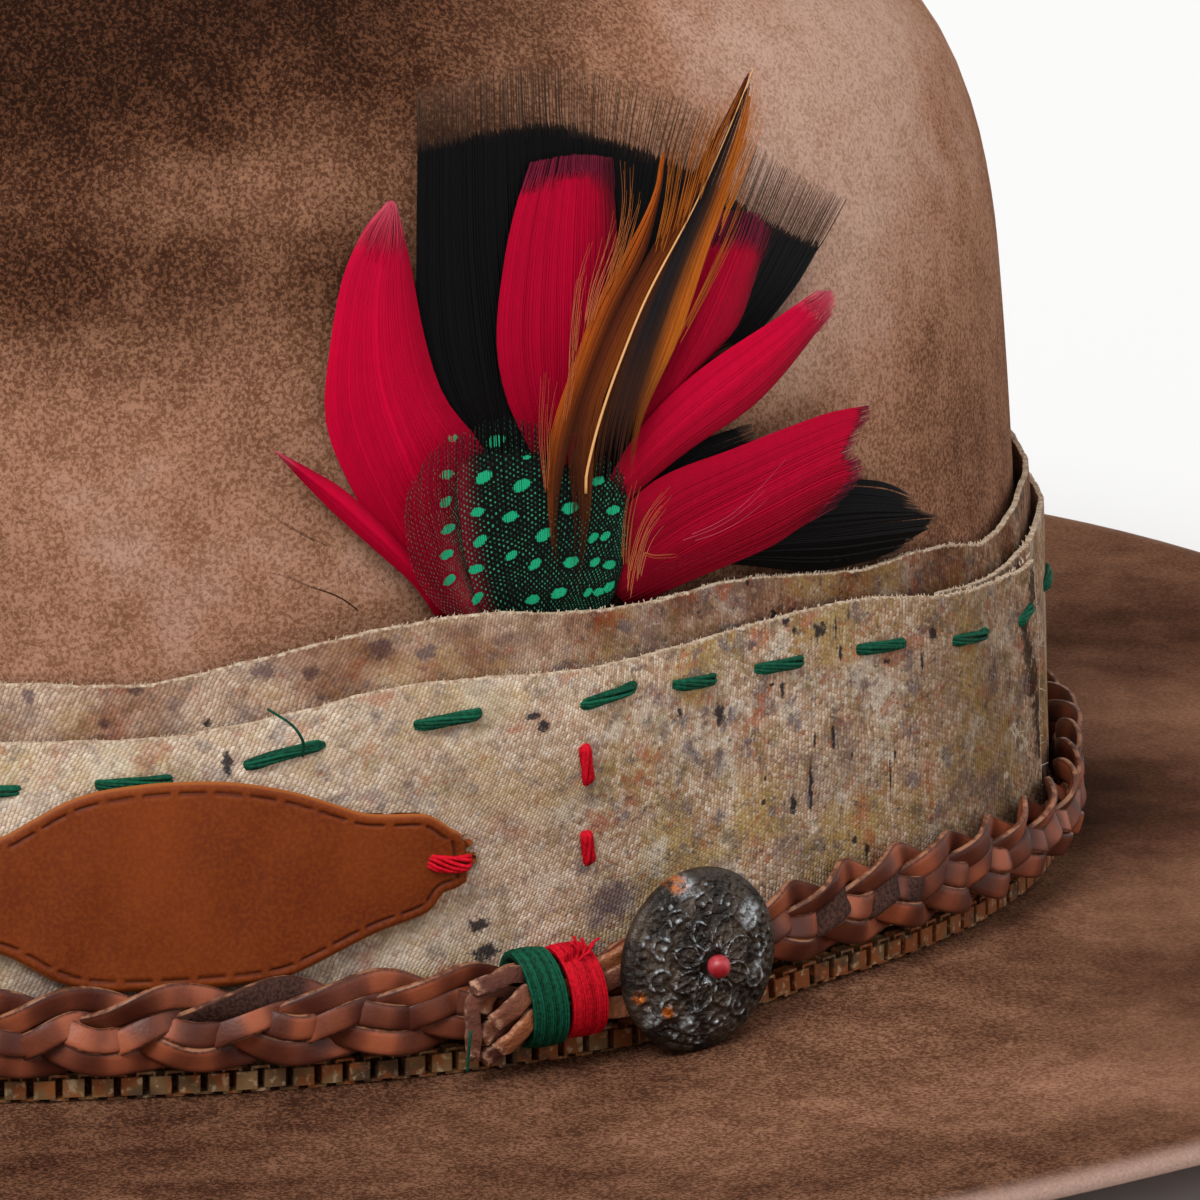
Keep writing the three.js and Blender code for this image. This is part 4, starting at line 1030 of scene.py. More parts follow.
# Button: a cast and tarnished metal disc with a flower, scrolls and a roped rim in relief, on a short shank
# through the cord, and a dull red bead set in its middle.
BUTTON = {"along": 61.7, "up": 7.95, "out": 7.0, "turned": -0.11, "petals": 8, "scrolls": 12, "dashes": 52}
BUTTON_BACK = [
    (1.5, -4.0), (1.5, -0.5), (2.2, -0.1), (7.3, 0.0), (8.0, 0.25), (8.35, 0.7), (8.4, 1.2), (8.25, 1.65),
]
BUTTON_FACE = np.array([(0, 2.7), (1.1, 2.8), (1.8, 3.2), (3.4, 3.15), (5.6, 2.65), (7.1, 2.1), (8.05, 1.75)])
FACE_EDGE = BUTTON_FACE[-1, 0]
BUTTON_GRID = (110, 288)
CRUST_GRID = (28, 72)
FULL_RELIEF = 0.36
face_radius = np.linspace(FACE_EDGE, 0.3, BUTTON_GRID[0])
turn = np.arange(BUTTON_GRID[1]) * TURN / BUTTON_GRID[1]
radius, angle = np.meshgrid(face_radius, turn, indexing="ij")
petal_turn = (angle * BUTTON["petals"] / TURN) % 1 - 0.5
petal_share = np.clip((radius - 1.5) / 3.0, 0, 1)
petal_half = 0.40 * np.sin(math.pi * petal_share ** 0.75) + 0.03
from_outline = (np.abs(petal_turn) - petal_half) * radius * TURN / BUTTON["petals"]
on_petals = ((radius > 1.5) & (radius < 4.5)) * 1.0
relief = 0.24 * np.exp(-((from_outline / 0.16) ** 2)) * on_petals
relief += 0.14 * np.exp(-((petal_turn * radius / 0.25) ** 2)) * on_petals * (from_outline < 0)
relief -= 0.16 * smooth_step(from_outline, 0.25, 0.6) * on_petals
relief += 0.30 * np.exp(-(((radius - 1.45) / 0.28) ** 2))
scroll_turn = (angle * BUTTON["scrolls"] / TURN + 0.25) % 1 - 0.5
scroll_out = radius - 5.55
scroll_side = scroll_turn * radius * TURN / BUTTON["scrolls"]
from_scroll = np.hypot(scroll_side, scroll_out)
relief += 0.34 * np.exp(-((from_scroll / 0.34) ** 2))
on_scroll = np.sin(np.arctan2(scroll_out, scroll_side) - 0.6) > -0.75
relief += 0.26 * np.exp(-(((from_scroll - 0.95) / 0.20) ** 2)) * on_scroll
dash = 0.5 + 0.5 * np.cos(angle * BUTTON["dashes"] + (radius - 7.2) * 1.2)
relief += 0.15 * smooth_step(dash, 0.35, 0.7) * (1 - smooth_step(np.abs(radius - 7.15), 0.32, 0.45))
relief += 0.10 * np.exp(-(((radius - 6.6) / 0.12) ** 2))
relief += 0.05 * np.sin(angle * 5 + radius * 1.9) * np.sin(radius * 4.1 + angle * 3)
crust = np.random.default_rng(15).normal(0, 1, CRUST_GRID)
crust_rows, crust_columns = CRUST_GRID[0] - 1, CRUST_GRID[1]
crust_at = (face_radius / FACE_EDGE * crust_rows, turn / TURN * crust_columns)
low = [np.minimum(line.astype(int), size - 1) for line, size in zip(crust_at, (crust_rows, crust_columns))]
part = [smooth_step(line - first, 0, 1) for line, first in zip(crust_at, low)]
corner = [[crust[low[0] + i][:, (low[1] + j) % crust_columns] for j in (0, 1)] for i in (0, 1)]
inner_edge = corner[0][0] * (1 - part[1]) + corner[0][1] * part[1]
outer_edge = corner[1][0] * (1 - part[1]) + corner[1][1] * part[1]
relief += 0.085 * (inner_edge * (1 - part[0][:, None]) + outer_edge * part[0][:, None])
relief *= smooth_step(radius, 0.9, 1.3) * (1 - smooth_step(radius, 7.65, 7.9))
height = read(BUTTON_FACE[:, 0], BUTTON_FACE[:, 1], face_radius)[:, None] + relief
back = np.array(BUTTON_BACK)
radius = np.concatenate([np.broadcast_to(back[:, :1], (len(back), len(turn))), radius])
height = np.concatenate([np.broadcast_to(back[:, 1:], (len(back), len(turn))), height])
middle = on_wall(BUTTON["along"] * MM, BUTTON["up"] * MM, BUTTON["out"] * MM)
outward = unit((middle - on_wall(BUTTON["along"] * MM, BUTTON["up"] * MM, 0.0)) * (1, 1, 0))
turned = np.array([math.cos(BUTTON["turned"]), math.sin(BUTTON["turned"])])
outward = np.array([
    outward[0] * turned[0] - outward[1] * turned[1], outward[0] * turned[1] + outward[1] * turned[0], 0.0
])
sideways = np.cross((0, 0, 1), outward)
round_all = np.broadcast_to(turn, radius.shape)
disc = middle + MM * (
    (radius * np.cos(round_all))[..., None] * sideways
    + (radius * np.sin(round_all))[..., None] * np.array((0, 0, 1))
    + height[..., None] * outward
)
cast_button = ring_mesh("cast_button", disc[None])
raised = np.concatenate([np.full((len(back), len(turn)), 0.1), relief / FULL_RELIEF])
give(cast_button, "raised", raised)
# Patches on the face: pale ones that are partly worn bare metal and partly painted highlight, and rust.
BUTTON_PATCHES = {
    "bright_metal_and_highlight": [(-2.2, 7.2, 1.4), (-5.8, -4.3, 1.1), (-2.4, -5.0, 0.9), (4.7, 3.75, 1.7), (5.6, -1.0, 1.0)],
    "rust": [(-2.8, 7.6, 1.3), (-4.6, -3.8, 0.9), (-7.2, -2.2, 0.8)],
}
for patch_name, patches in BUTTON_PATCHES.items():
    share = np.zeros_like(radius)
    for aside, above, reach in patches:
        away = np.hypot(radius * np.cos(round_all) - aside, radius * np.sin(round_all) - above)
        share = np.maximum(share, 1 - smooth_step(away, 0.3 * reach, reach))
    give(cast_button, patch_name, share)
cast_metal, tree = new_finish("tarnished_cast_metal", Metallic=0.45, Roughness=0.5)
spot = place_of(tree)
pits = noise(tree, spot, 1500, 3, 0.6)
tarnish = noise(tree, spot, 260, 3, 0.6)
colour = mix(tree, fit(tree, tarnish, 0.38, 0.62), tint("201B18"), tint("50443A"))
# Paler silver on the raised relief: partly rubbed bare metal, partly painted highlight.
rubbed_and_highlit = fit(tree, noise(tree, spot, 900, 4, 0.75), 0.44, 0.58, 0.0, 1.0)
shine = calc(tree, "MULTIPLY", fit(tree, own(tree, "raised"), 0.35, 1.0), rubbed_and_highlit)
colour = mix(tree, shine, colour, tint("B8C2C8"))
bright_metal_and_highlight = calc(tree, "MULTIPLY", own(tree, "bright_metal_and_highlight"), fit(tree, pits, 0.38, 0.55, 0.2, 1.0))
colour = mix(tree, bright_metal_and_highlight, colour, tint("B4BCC0"))
rusty = calc(tree, "MULTIPLY", own(tree, "rust"), fit(tree, pits, 0.38, 0.55, 0.1, 1.0))
colour = mix(tree, rusty, colour, tint("C46A20"))
paint(
    tree,
    Base_Color=colour,
    Roughness=fit(tree, pits, 0.3, 0.7, 0.28, 0.56),
    Normal=bumps(tree, calc(tree, "MULTIPLY_ADD", pits, 0.9, tarnish), 0.8, 0.0005),
)
cast_button.data.materials.append(cast_metal)
fasten(cast_button, "button_metal", "button")

BEAD_RADIUS = 1.07
BEAD_HEIGHT = 4.15
bpy.ops.mesh.primitive_uv_sphere_add(
    segments=40, ring_count=24, radius=BEAD_RADIUS * MM, location=middle + outward * BEAD_HEIGHT * MM
)
bead = bpy.context.object
bead.name = "red_bead"
bpy.ops.object.transform_apply(location=True, rotation=True, scale=True)
bpy.ops.object.shade_smooth()
bead_finish, tree = new_finish("dull_red_glass", Roughness=0.38, Specular_IOR_Level=0.5)
chalk = noise(tree, place_of(tree), 900, 3)
colour = mix(tree, fit(tree, chalk, 0.42, 0.7), tint("9C1824"), tint("BC444C"))
paint(tree, Base_Color=colour, Normal=bumps(tree, chalk, 0.3, 0.0001))
bead.data.materials.append(bead_finish)
fasten(bead, "bead", "button_bead")

# Box chain: square links of flat brass strip, one facing out and the next standing on edge, laid round the
# foot of the crown on the brim. It is worn and rusted, most of all towards the back.
CHAIN_OUT = 3.0
CHAIN_LIFT = 1.5
CHAIN_PAIRS = 245
LINKS = [
    {"length": 1.72, "tall": 2.35, "strip": 1.25, "wall": 0.24},
    {"length": 1.90, "tall": 2.00, "strip": 1.62, "wall": 0.24},
]


def brim_top(turn):
    """The brim's height in millimetres where the crown rises from it."""
    return 4.5 + 2.1 * smooth_step(np.sin(turn), 0.6, 0.78)


fine = np.linspace(0, TURN, 2881)
ring_line = np.concatenate([oval(fine, CHAIN_OUT * MM), ((brim_top(fine) + CHAIN_LIFT) * MM)[:, None]], -1)
ring_length = np.concatenate([[0], np.cumsum(np.linalg.norm(np.diff(ring_line, axis=0), axis=1))])
centres = np.arange(2 * CHAIN_PAIRS) / (2 * CHAIN_PAIRS) * ring_length[-1]
centre = np.stack([np.interp(centres, ring_length, ring_line[:, k]) for k in range(3)], -1)
forward = unit(np.roll(centre, -1, 0) - np.roll(centre, 1, 0))
side = unit(np.cross(forward, (0, 0, 1)))
top = np.cross(side, forward)
links = []
for which, link in enumerate(LINKS):
    length, tall, strip = (link[key] / 2 for key in ("length", "tall", "strip"))
    wall = link["wall"]
    cut = 0.35 * wall
    outer = np.array([
        (length, tall - cut), (length - cut, tall), (cut - length, tall), (-length, tall - cut),
        (-length, cut - tall), (cut - length, -tall), (length - cut, -tall), (length, cut - tall),
    ])
    inner = np.sign(outer) * (np.array([length, tall]) - wall)
    ring = np.stack([
        np.concatenate([outer, np.full((8, 1), -strip)], -1),
        np.concatenate([outer, np.full((8, 1), strip)], -1),
        np.concatenate([inner, np.full((8, 1), strip)], -1),
        np.concatenate([inner, np.full((8, 1), -strip)], -1),
    ], 1)
    loose = chance.normal(0, 0.035, (CHAIN_PAIRS, 2))
    here = slice(which, None, 2)
    rise_way, out_way = (top[here], side[here]) if which == 0 else (side[here], top[here])
    links.append(
        centre[here][:, None, None]
        + MM * (
            ring[None, ..., 0, None] * forward[here][:, None, None]
            + (ring[None, ..., 1, None] + loose[:, None, None, :1]) * rise_way[:, None, None]
            + (ring[None, ..., 2, None] + loose[:, None, None, 1:]) * out_way[:, None, None]
        )
    )
chain = ring_mesh("box_chain_links", np.concatenate(links), closed=True)
bpy.ops.object.shade_smooth_by_angle(angle=math.radians(25))
worn_brass_with_painted_highlights, tree = new_finish("worn_brass_with_painted_highlights", Metallic=0.5, Roughness=0.55)
spot = place_of(tree)
scale_rust = noise(tree, spot, 420, 3, 0.6)
dull = noise(tree, spot, 150, 3)
backwards = fit(tree, put(tree, "SeparateXYZ", {"Vector": spot}, "Y"), 0.02, 0.10, 0.0, 0.07)
colour = mix(tree, fit(tree, dull, 0.40, 0.60), tint("5C4632"), tint("94734C"))
rust_share = fit(tree, calc(tree, "ADD", scale_rust, backwards), 0.45, 0.58, 0.0, 0.85)
colour = mix(tree, rust_share, colour, tint("A05A2C"))
# Pale specks: partly worn bare brass, partly painted highlight.
colour = mix(tree, fit(tree, noise(tree, spot, 1300, 3), 0.54, 0.68, 0.0, 0.7), colour, tint("D2B894"))
paint(tree, Base_Color=colour, Normal=bumps(tree, scale_rust, 0.5, 0.0002))
chain.data.materials.append(worn_brass_with_painted_highlights)
fasten(chain, "chain_brass", "box_chain")

# Feathers: a fan tucked behind the inner band. Each is built of its own barbs, thin three-sided ribbons that
# lie side by side and part into a fringe at the tip. The first are a broad black tail feather and a side one.
ROOT_OUT = 0.4
LAYER = 0.7
FAN_ROWS = 26


def dyes(*codes):
    return np.array([tint(code)[:3] for code in codes])


def blend(stops, at):
    """Colours between a list of them, for shares from 0 to 1."""
    at = np.clip(at, 0, 1) * (len(stops) - 1)
    low = np.minimum(at.astype(int), len(stops) - 2)
    part = (at - low)[..., None]
    return stops[low] * (1 - part) + stops[low + 1] * part


def barb_paths(guides, barbs, rows, ragged, clump, luck, foot=0.0):
    """Barbs spread between guide curves, parted into clumps, as barbs x rows x (along, up)."""
    share = 1 - (1 - np.linspace(0, 1, rows)) ** 1.4
    lines = np.array([smooth_path(guide, share) for guide in guides])
    place = np.linspace(0, len(lines) - 1, barbs)
    low = np.clip(place.astype(int), 0, len(lines) - 2)
    t = (place - low)[:, None, None]
    a, b, c, d = (lines[np.clip(low + step, 0, len(lines) - 1)] for step in (-1, 0, 1, 2))
    path = b + 0.5 * t * ((c - a) + t * ((2 * a - 5 * b + 4 * c - d) + t * (3 * b - a - 3 * c + d)))
    neighbour = np.gradient(path, axis=0)
    gap = np.linalg.norm(neighbour, axis=-1)
    sizes = luck.integers(3, 12, barbs)
    group = np.repeat(np.arange(barbs), sizes)[:barbs]
    group_at = np.array([np.mean(np.flatnonzero(group == g)) for g in group])
    towards = (group_at - np.arange(barbs))[:, None] * 0.35 + luck.normal(0, 0.8, barbs)[group][:, None]
    path = path + neighbour * (towards * clump * share ** 2.2)[..., None]
    kept = 1 - ragged * (0.6 * luck.random(barbs)[group] + 0.4 * luck.random(barbs))
    begin = foot * luck.random(barbs)[:, None]
    index = (begin + (kept[:, None] - begin) * np.linspace(0, 1, rows)) * (rows - 1)
    low = np.minimum(index.astype(int), rows - 2)
    part = (index - low)[..., None]
    row = np.arange(barbs)[:, None]
    return path[row, low] * (1 - part) + path[row, low + 1] * part, gap[row, low]


def vane(name, guides, layer, barbs, colours, finish, slot, nodes, rows=FAN_ROWS, fringe=2.0, thin=0.05,
         cover=0.56, ragged=0.05, clump=0.8, camber=0.35, ridge=0.012, soft=0.2, uneven=0.03, foot=0.0,
         seed=1):
    """A feather's web: one closed ribbon for each barb, with its colours from a function of place."""
    luck = np.random.default_rng(seed)
    full, _ = barb_paths(guides, barbs, rows, 0, 0, luck)
    path, gap = barb_paths(guides, barbs, rows, ragged, clump, luck, foot)
    share = np.linspace(0, 1, rows)[None]
    side = np.linspace(0, 1, barbs)[:, None]
    steps = np.linalg.norm(np.diff(path, axis=1), axis=-1)
    gone = np.concatenate([np.zeros((barbs, 1)), np.cumsum(steps, 1)], 1)
    from_tip = np.linalg.norm(np.diff(full, axis=1), axis=-1).sum(1)[:, None] - gone
    fringe = np.atleast_1d(fringe)
    reach = np.interp(side[:, 0], np.linspace(0, 1, len(fringe)), fringe)[:, None]
    solid = smooth_step(from_tip, reach * (1 - soft), reach * (1 + soft))
    half = thin * (1 - 0.5 * smooth_step(share, 0.9, 1)) * (1 - solid) + np.maximum(cover * gap, thin) * solid
    out = ROOT_OUT + LAYER * layer + camber * (1 - (2 * side - 1) ** 2) * np.ones_like(share)
    half = half * (1 - (foot > 0) * 0.85 * (1 - smooth_step(share, 0, 0.12)))
    out = out + luck.normal(0, 0.006, barbs)[:, None]
    out = out + 0.15 * luck.normal(0, 1, barbs)[:, None] * (1 - solid) * share
    way = unit(np.gradient(path, axis=1))
    across = np.stack([way[..., 1], -way[..., 0]], -1)
    left, right = path - across * half[..., None], path + across * half[..., None]
    corners = np.stack([left, right, path], 2)
    outs = np.stack([out, out, out + ridge], 2)
    rings = on_wall(corners[..., 0] * MM, corners[..., 1] * MM, outs * MM)
    piece = ring_mesh(name, rings)
    colour = colours(side * np.ones_like(share), share * np.ones_like(side), from_tip, solid, path, luck)
    colour = np.clip(colour * (1 + luck.normal(0, uneven, barbs)[:, None, None]), 0, 1)
    dye = piece.data.attributes.new("dye", "FLOAT_COLOR", "POINT")
    spread = np.ones((barbs, rows, 3, 4), np.float32)
    spread[..., :3] = colour[:, :, None]
    dye.data.foreach_set("color", spread.ravel())
    laid = np.concatenate([path, gone[..., None]], -1)[:, :, None] * np.ones((3, 1))
    laid_at = piece.data.attributes.new("laid", "FLOAT_VECTOR", "POINT")
    laid_at.data.foreach_set("vector", laid.astype(np.float32).ravel())
    give(piece, "barb", np.arange(barbs)[:, None, None] * np.ones((1, rows, 3)))
    piece.data.materials.append(finish)
    fasten(piece, slot, *nodes)
    return piece


def feather_finish(name, roughness, specular):
    finish, tree = new_finish(name, Roughness=roughness, Specular_IOR_Level=specular)
    streak = noise(tree, place_of(tree, (1, 1, 0.35)), 1400, 2)
    dye = put(tree, "Attribute", {}, "Color", attribute_name="dye")
    paint(tree, Base_Color=mix(tree, fit(tree, streak, 0.3, 0.7, 0.0, 0.08), dye, (0, 0, 0, 1)))
    return finish


black_web = feather_finish("black_feather_web", 0.6, 0.08)
red_web = feather_finish("red_feather_web", 0.6, 0.06)


def black_colours(side, share, from_tip, solid, path, luck):
    base = blend(dyes("120D0C", "090709", "080709", "080708"), share)
    tip = blend(dyes("3A2A22", "503C30"), 1 - np.clip(from_tip / 5, 0, 1))
    return base * solid[..., None] + tip * (1 - solid[..., None])


vane(
    "black_tail_feather",
    [
        [
            (46.0, 40), (46.2, 54.3), (43.4, 58.9), (42.2, 62.5), (42.0, 66.0), (42.5, 73.8),
            (43.1, 80.6), (43.3, 85.8),
        ],
        [(49.5, 40), (50.2, 58), (49.8, 72), (50.4, 82.2), (50.8, 87)],
        [(52.5, 40), (56, 58), (57.8, 72), (58.2, 82.4), (58.6, 87.0)],
        [(54.5, 40), (61.5, 57), (66.4, 69), (70.0, 77.4), (72.8, 82.4)],
        [(56.0, 40), (66, 56.5), (75.2, 65.0), (80.2, 71.0), (83.8, 75.4)],
        [(57.0, 40.5), (69.4, 56.2), (76.4, 59.8), (83.6, 64.2), (87.5, 67.3), (92.4, 71.2)],
    ],
    0, 300, black_colours, black_web, "black_feather", ["feather_black_tail"], rows=48,
    fringe=[4.8, 5.4, 5.6, 6.3, 6.0, 5.8], thin=0.036, cover=1.0, ragged=0.02, clump=0.22, soft=0.06, seed=3,
)
vane(
    "black_side_feather",
    [
        [(61.5, 44.5), (72, 47), (84, 46.8), (93, 45.2), (98.2, 43.1)],
        [(61.5, 43.3), (74, 45.2), (87, 44.2), (95, 42.6), (99.4, 41.4)],
        [(61.5, 42.0), (75, 42.6), (90, 41.4), (97, 40.6), (102.4, 39.9)],
        [(61.5, 41), (70.7, 41.3), (82.8, 38.8), (91.5, 38.3), (95.0, 38.0)],
    ],
    1, 60, black_colours, black_web, "black_feather", ["feather_black_side"],
    fringe=[1.5, 3.0, 1.5, 3.0], thin=0.05, cover=0.8, ragged=0.08, clump=0.6, seed=4,
)
vane(
    "black_under_barbs",
    [
        [(58, 45.4), (63, 49.6), (68.6, 52.4), (75.8, 53.4)],
        [(58, 44.6), (63.6, 48.4), (69.4, 50.8), (76.0, 52.0)],
        [(58, 43.8), (64, 47.2), (70, 49.2), (76, 50.2)],
    ],
    1.6, 60, black_colours, black_web, "black_feather", [],
    fringe=[2.0, 1.5, 1.0], thin=0.05, cover=0.8, ragged=0.15, clump=0.8, seed=5,
)


def down_colours(side, share, from_tip, solid, path, luck):
    return blend(dyes("1C100C", "3A2018", "5A3626"), share + 0.2 * np.sin(side * 17))


vane(
    "brown_down_barbs",
    [
        [(60, 51), (64.6, 56.0), (69.0, 59.2), (75.0, 61.4)],
        [(60, 50), (65.2, 54.8), (71.0, 57.4), (77.0, 58.6)],
        [(60, 49), (66.0, 53.2), (72.3, 55.4), (77.0, 55.6)],
    ],
    1.2, 70, down_colours, black_web, "black_feather", [],
    fringe=[6.0, 8.0, 6.0], thin=0.035, cover=0.4, ragged=0.3, clump=1.8, seed=6,
)

# Red feathers: five dyed feathers and a sliver of one, brighter along the middle, paler and torn at the tip;
# the darkening towards their right edge, where they overlap, is painted shade.
# They overlap in layers in front of the black ones.
RED_STOPS = ("8E001E", "B00028", "C20030", "C60030", "C00434", "D8586E")


def red_colours(side, share, from_tip, solid, path, luck):
    base = blend(dyes(*RED_STOPS), share)
    streak = 1 + 0.05 * np.sin(side * 13 + 1.3) + 0.03 * np.sin(side * 29)
    # Painted shade: darker towards the right edge, where the feathers overlap.
    overlap_shade = 1 - 0.3 * smooth_step(side, 0.70, 1.0)
    return base * (streak * overlap_shade)[..., None]


def deep_red_colours(side, share, from_tip, solid, path, luck):
    """The darker feathers, brown along their right edge near the tip."""
    brown = smooth_step(side, 0.72, 0.92) * smooth_step(share, 0.62, 0.9)
    base = red_colours(side, 0.75 * share, from_tip, solid, path, luck) * 0.78
    base = base * solid[..., None] + dyes("82203A")[0] * (1 - solid[..., None])
    return base * (1 - 0.7 * brown[..., None]) + dyes("3A1418")[0] * 0.7 * brown[..., None]


RED_FEATHERS = [
    ("red_feather_1", "feather_red_1", 1, 190, [3.8, 4.6, 3.0], 0.05, red_colours, [
        [
            (46.2, 38), (38.8, 44.6), (34.2, 52.9), (32.5, 58.2), (33.4, 64.8), (34.9, 70.5),
            (37.2, 74.4), (39.6, 76.6),
        ],
        [(47.6, 38), (43.5, 46), (39.8, 54.5), (37.8, 61), (37.8, 68), (39.0, 73.5), (39.8, 76.8)],
        [
            (49, 38), (48.6, 50), (47.3, 54.4), (43.8, 59.1), (42.2, 64.5), (41.2, 71.6),
            (40.5, 74.8), (40.0, 76.4),
        ],
    ]),
    ("red_sliver", "feather_red_sliver", 2, 46, [1.0], 0.05, red_colours, [
        [(42.0, 39.5), (39.8, 43.0), (37.2, 45.6), (34.6, 48.1), (32.1, 50.6), (30.0, 52.9), (27.4, 55.9)],
        [(42.6, 39.9), (40.5, 43.3), (38.1, 46.1), (35.5, 48.8), (32.8, 51.4), (30.3, 53.5), (27.4, 55.9)],
        [(43.4, 40.4), (41.3, 43.6), (38.9, 46.6), (36.3, 49.4), (33.5, 52.1), (30.6, 54.0), (27.4, 55.9)],
    ]),
    ("red_feather_2", "feather_red_2", 1, 200, [2.6, 1.8, 2.6], 0.02, deep_red_colours, [
        [(52.2, 40), (53.0, 50.3), (49.8, 58.6), (49.2, 64.0), (50.6, 71.0), (52.1, 75.3), (53.9, 79.0)],
        [(53, 40), (55, 52), (55.7, 62), (56.8, 72), (58.2, 79.4)],
        [(53.8, 40), (57, 52), (60.5, 62), (62.2, 70), (62.4, 78.7)],
    ]),
    ("red_feather_3", "feather_red_3", 2, 110, [3.6, 2.8], 0.05, deep_red_colours, [
        [(57, 42), (62, 54), (67, 63), (71, 69.5), (73.4, 72.9)],
        [(57.5, 41.7), (64.8, 55.6), (70.8, 62.8), (75.4, 69.2), (77.4, 72.4)],
        [(58, 41.5), (66.7, 56.8), (71.4, 60.2), (74.6, 62.4), (76.6, 65.4), (78.2, 68.0), (79.6, 70.5)],
    ]),
    ("red_feather_4", "feather_red_4", 3, 110, [2.2, 3.2, 2.4], 0.05, red_colours, [
        [(56, 47.2), (62, 54.7), (69, 59.2), (80.2, 63.1), (84.4, 64.3)],
        [(56.5, 46.9), (61.9, 52.1), (68.2, 55.8), (78.4, 60.3), (85.9, 64.0)],
        [(57, 46.5), (61.7, 49.4), (67.3, 52.3), (75.7, 55.6), (85.8, 62.1)],
    ]),
    ("red_feather_5", "feather_red_5", 3, 150, [1.4, 2.0, 1.6, 2.0, 3.5], 0.04, deep_red_colours, [
        [(56.4, 43.5), (62.2, 49.5), (72.3, 51.7), (83.7, 53.1), (90.2, 52.9)],
        [(56.9, 42.6), (64, 47.2), (73, 49.6), (82, 51.2), (89.7, 51.9)],
        [(57.6, 41.6), (66, 45.2), (74.5, 47.4), (82, 49.0), (87.0, 49.6)],
        [(58.6, 40.4), (67, 43.2), (75.5, 45.2), (82, 46.6), (88.3, 47.2)],
        [(60, 39), (66.5, 40.6), (76.3, 42.4), (79.5, 43.4), (84.5, 44.6)],
    ]),
]
for number, (name, node, layer, barbs, fringe, ragged, colours, guides) in enumerate(RED_FEATHERS):
    vane(
        name, guides, layer, barbs, colours, red_web, "red_feather", [node],
        fringe=fringe, thin=0.034, cover=1.0, ragged=ragged, clump=0.35, camber=0.45, ridge=0.004,
        uneven=0.015, seed=20 + number,
    )

# Guinea feather: black, with rows of oblong spots and fine dots between them, all dyed green. Its left side
# is thin, and the red shows through.
GUINEA_SPOTS = np.array([
    (43.1, 56.1, 0.6), (47.1, 55.5, 1), (53.2, 53.8, 0.8), (42.3, 53.0, 0.8), (45.8, 52.4, 1),
    (49.3, 51.4, 1), (56.7, 51.0, 0.8), (42.1, 50.6, 0.8), (45.1, 49.4, 0.8), (48.1, 48.7, 0.9),
    (53.8, 48.9, 1), (58.1, 48.2, 0.8), (42.2, 48.2, 0.8), (45.2, 46.8, 0.8), (51.1, 46.8, 1),
    (48.0, 45.3, 0.7), (41.9, 46.0, 0.8), (44.7, 44.4, 0.8), (50.2, 44.3, 0.8), (53.6, 44.1, 0.9),
    (56.0, 43.8, 0.7), (57.5, 43.4, 0.8), (42.1, 43.7, 0.8), (44.7, 41.8, 0.8), (49.8, 41.2, 0.8),
    (52.3, 41.5, 0.9), (55.2, 41.2, 0.6), (56.3, 41.1, 0.7), (57.4, 41.4, 0.8), (55.9, 46.0, 0.7),
    (57.2, 46.0, 0.7), (49.9, 53.8, 0.4),
])
SPOT_HALF = (0.86, 0.50)
DOT_PITCH = 0.50
guinea_web, tree = new_finish("guinea_feather_web", Roughness=0.6, Specular_IOR_Level=0.08)
laid = put(tree, "Attribute", {}, "Vector", attribute_name="laid")
dye = put(tree, "Attribute", {}, "Color", attribute_name="dye")
barb = own(tree, "barb")
down_barb = calc(tree, "DIVIDE", put(tree, "SeparateXYZ", {"Vector": laid}, "Z"), DOT_PITCH)
down_barb = calc(tree, "MULTIPLY_ADD", calc(tree, "FLOOR", calc(tree, "DIVIDE", barb, 2)), 0.47, down_barb)
down_barb = calc(tree, "MULTIPLY_ADD", noise(tree, laid, 0.3, 2), 2.4, down_barb)
one_dot = put(tree, "CombineXYZ", {"X": barb, "Y": calc(tree, "FLOOR", down_barb)})
luck = put(tree, "TexWhiteNoise", {"Vector": one_dot}, "Value", noise_dimensions="2D")
off_dot = calc(tree, "ABSOLUTE", calc(tree, "SUBTRACT", calc(tree, "FRACT", down_barb), 0.5))
dot = fit(tree, off_dot, 0.13, 0.20, 1.0, 0.0)
dot = calc(tree, "MULTIPLY", dot, calc(tree, "LESS_THAN", calc(tree, "MODULO", barb, 2), 0.5))
dot = calc(tree, "MULTIPLY", dot, fit(tree, luck, 0.1, 0.9, 0.15, 0.95))
laid_along = put(tree, "SeparateXYZ", {"Vector": laid}, "X")
laid_up = put(tree, "SeparateXYZ", {"Vector": laid}, "Y")
dot = calc(tree, "MULTIPLY", dot, fit(tree, laid_up, 50.5, 57.0, 1.0, 0.25))
dot = calc(tree, "MULTIPLY", dot, fit(tree, laid_along, 39.5, 45.0, 0.55, 1.0))
nearest = FAR
for at, high, size in GUINEA_SPOTS:
    wide, tall = SPOT_HALF[0] * size, SPOT_HALF[1] * size
    lean = 0.25 * math.sin(at * 3.1 + high) - 0.35
    spot = put(tree, "Mapping", {"Vector": laid, "Location": (-at, -high, 0), "Scale": (1, 1, 0)})
    spot = put(tree, "Mapping", {"Vector": spot, "Rotation": (0, 0, lean)})
    spot = put(tree, "Mapping", {"Vector": spot, "Scale": (1 / wide, 1 / tall, 1)})
    nearest = nearer(tree, nearest, spot)
frayed = calc(tree, "SUBTRACT", noise(tree, laid, 3.2, 2), 0.5)
nearest = calc(tree, "MULTIPLY_ADD", frayed, 0.8, nearest)
clear_of_spots = fit(tree, nearest, 1.3, 1.7)
colour = mix(tree, calc(tree, "MULTIPLY", dot, clear_of_spots), dye, tint("3C9A70"))
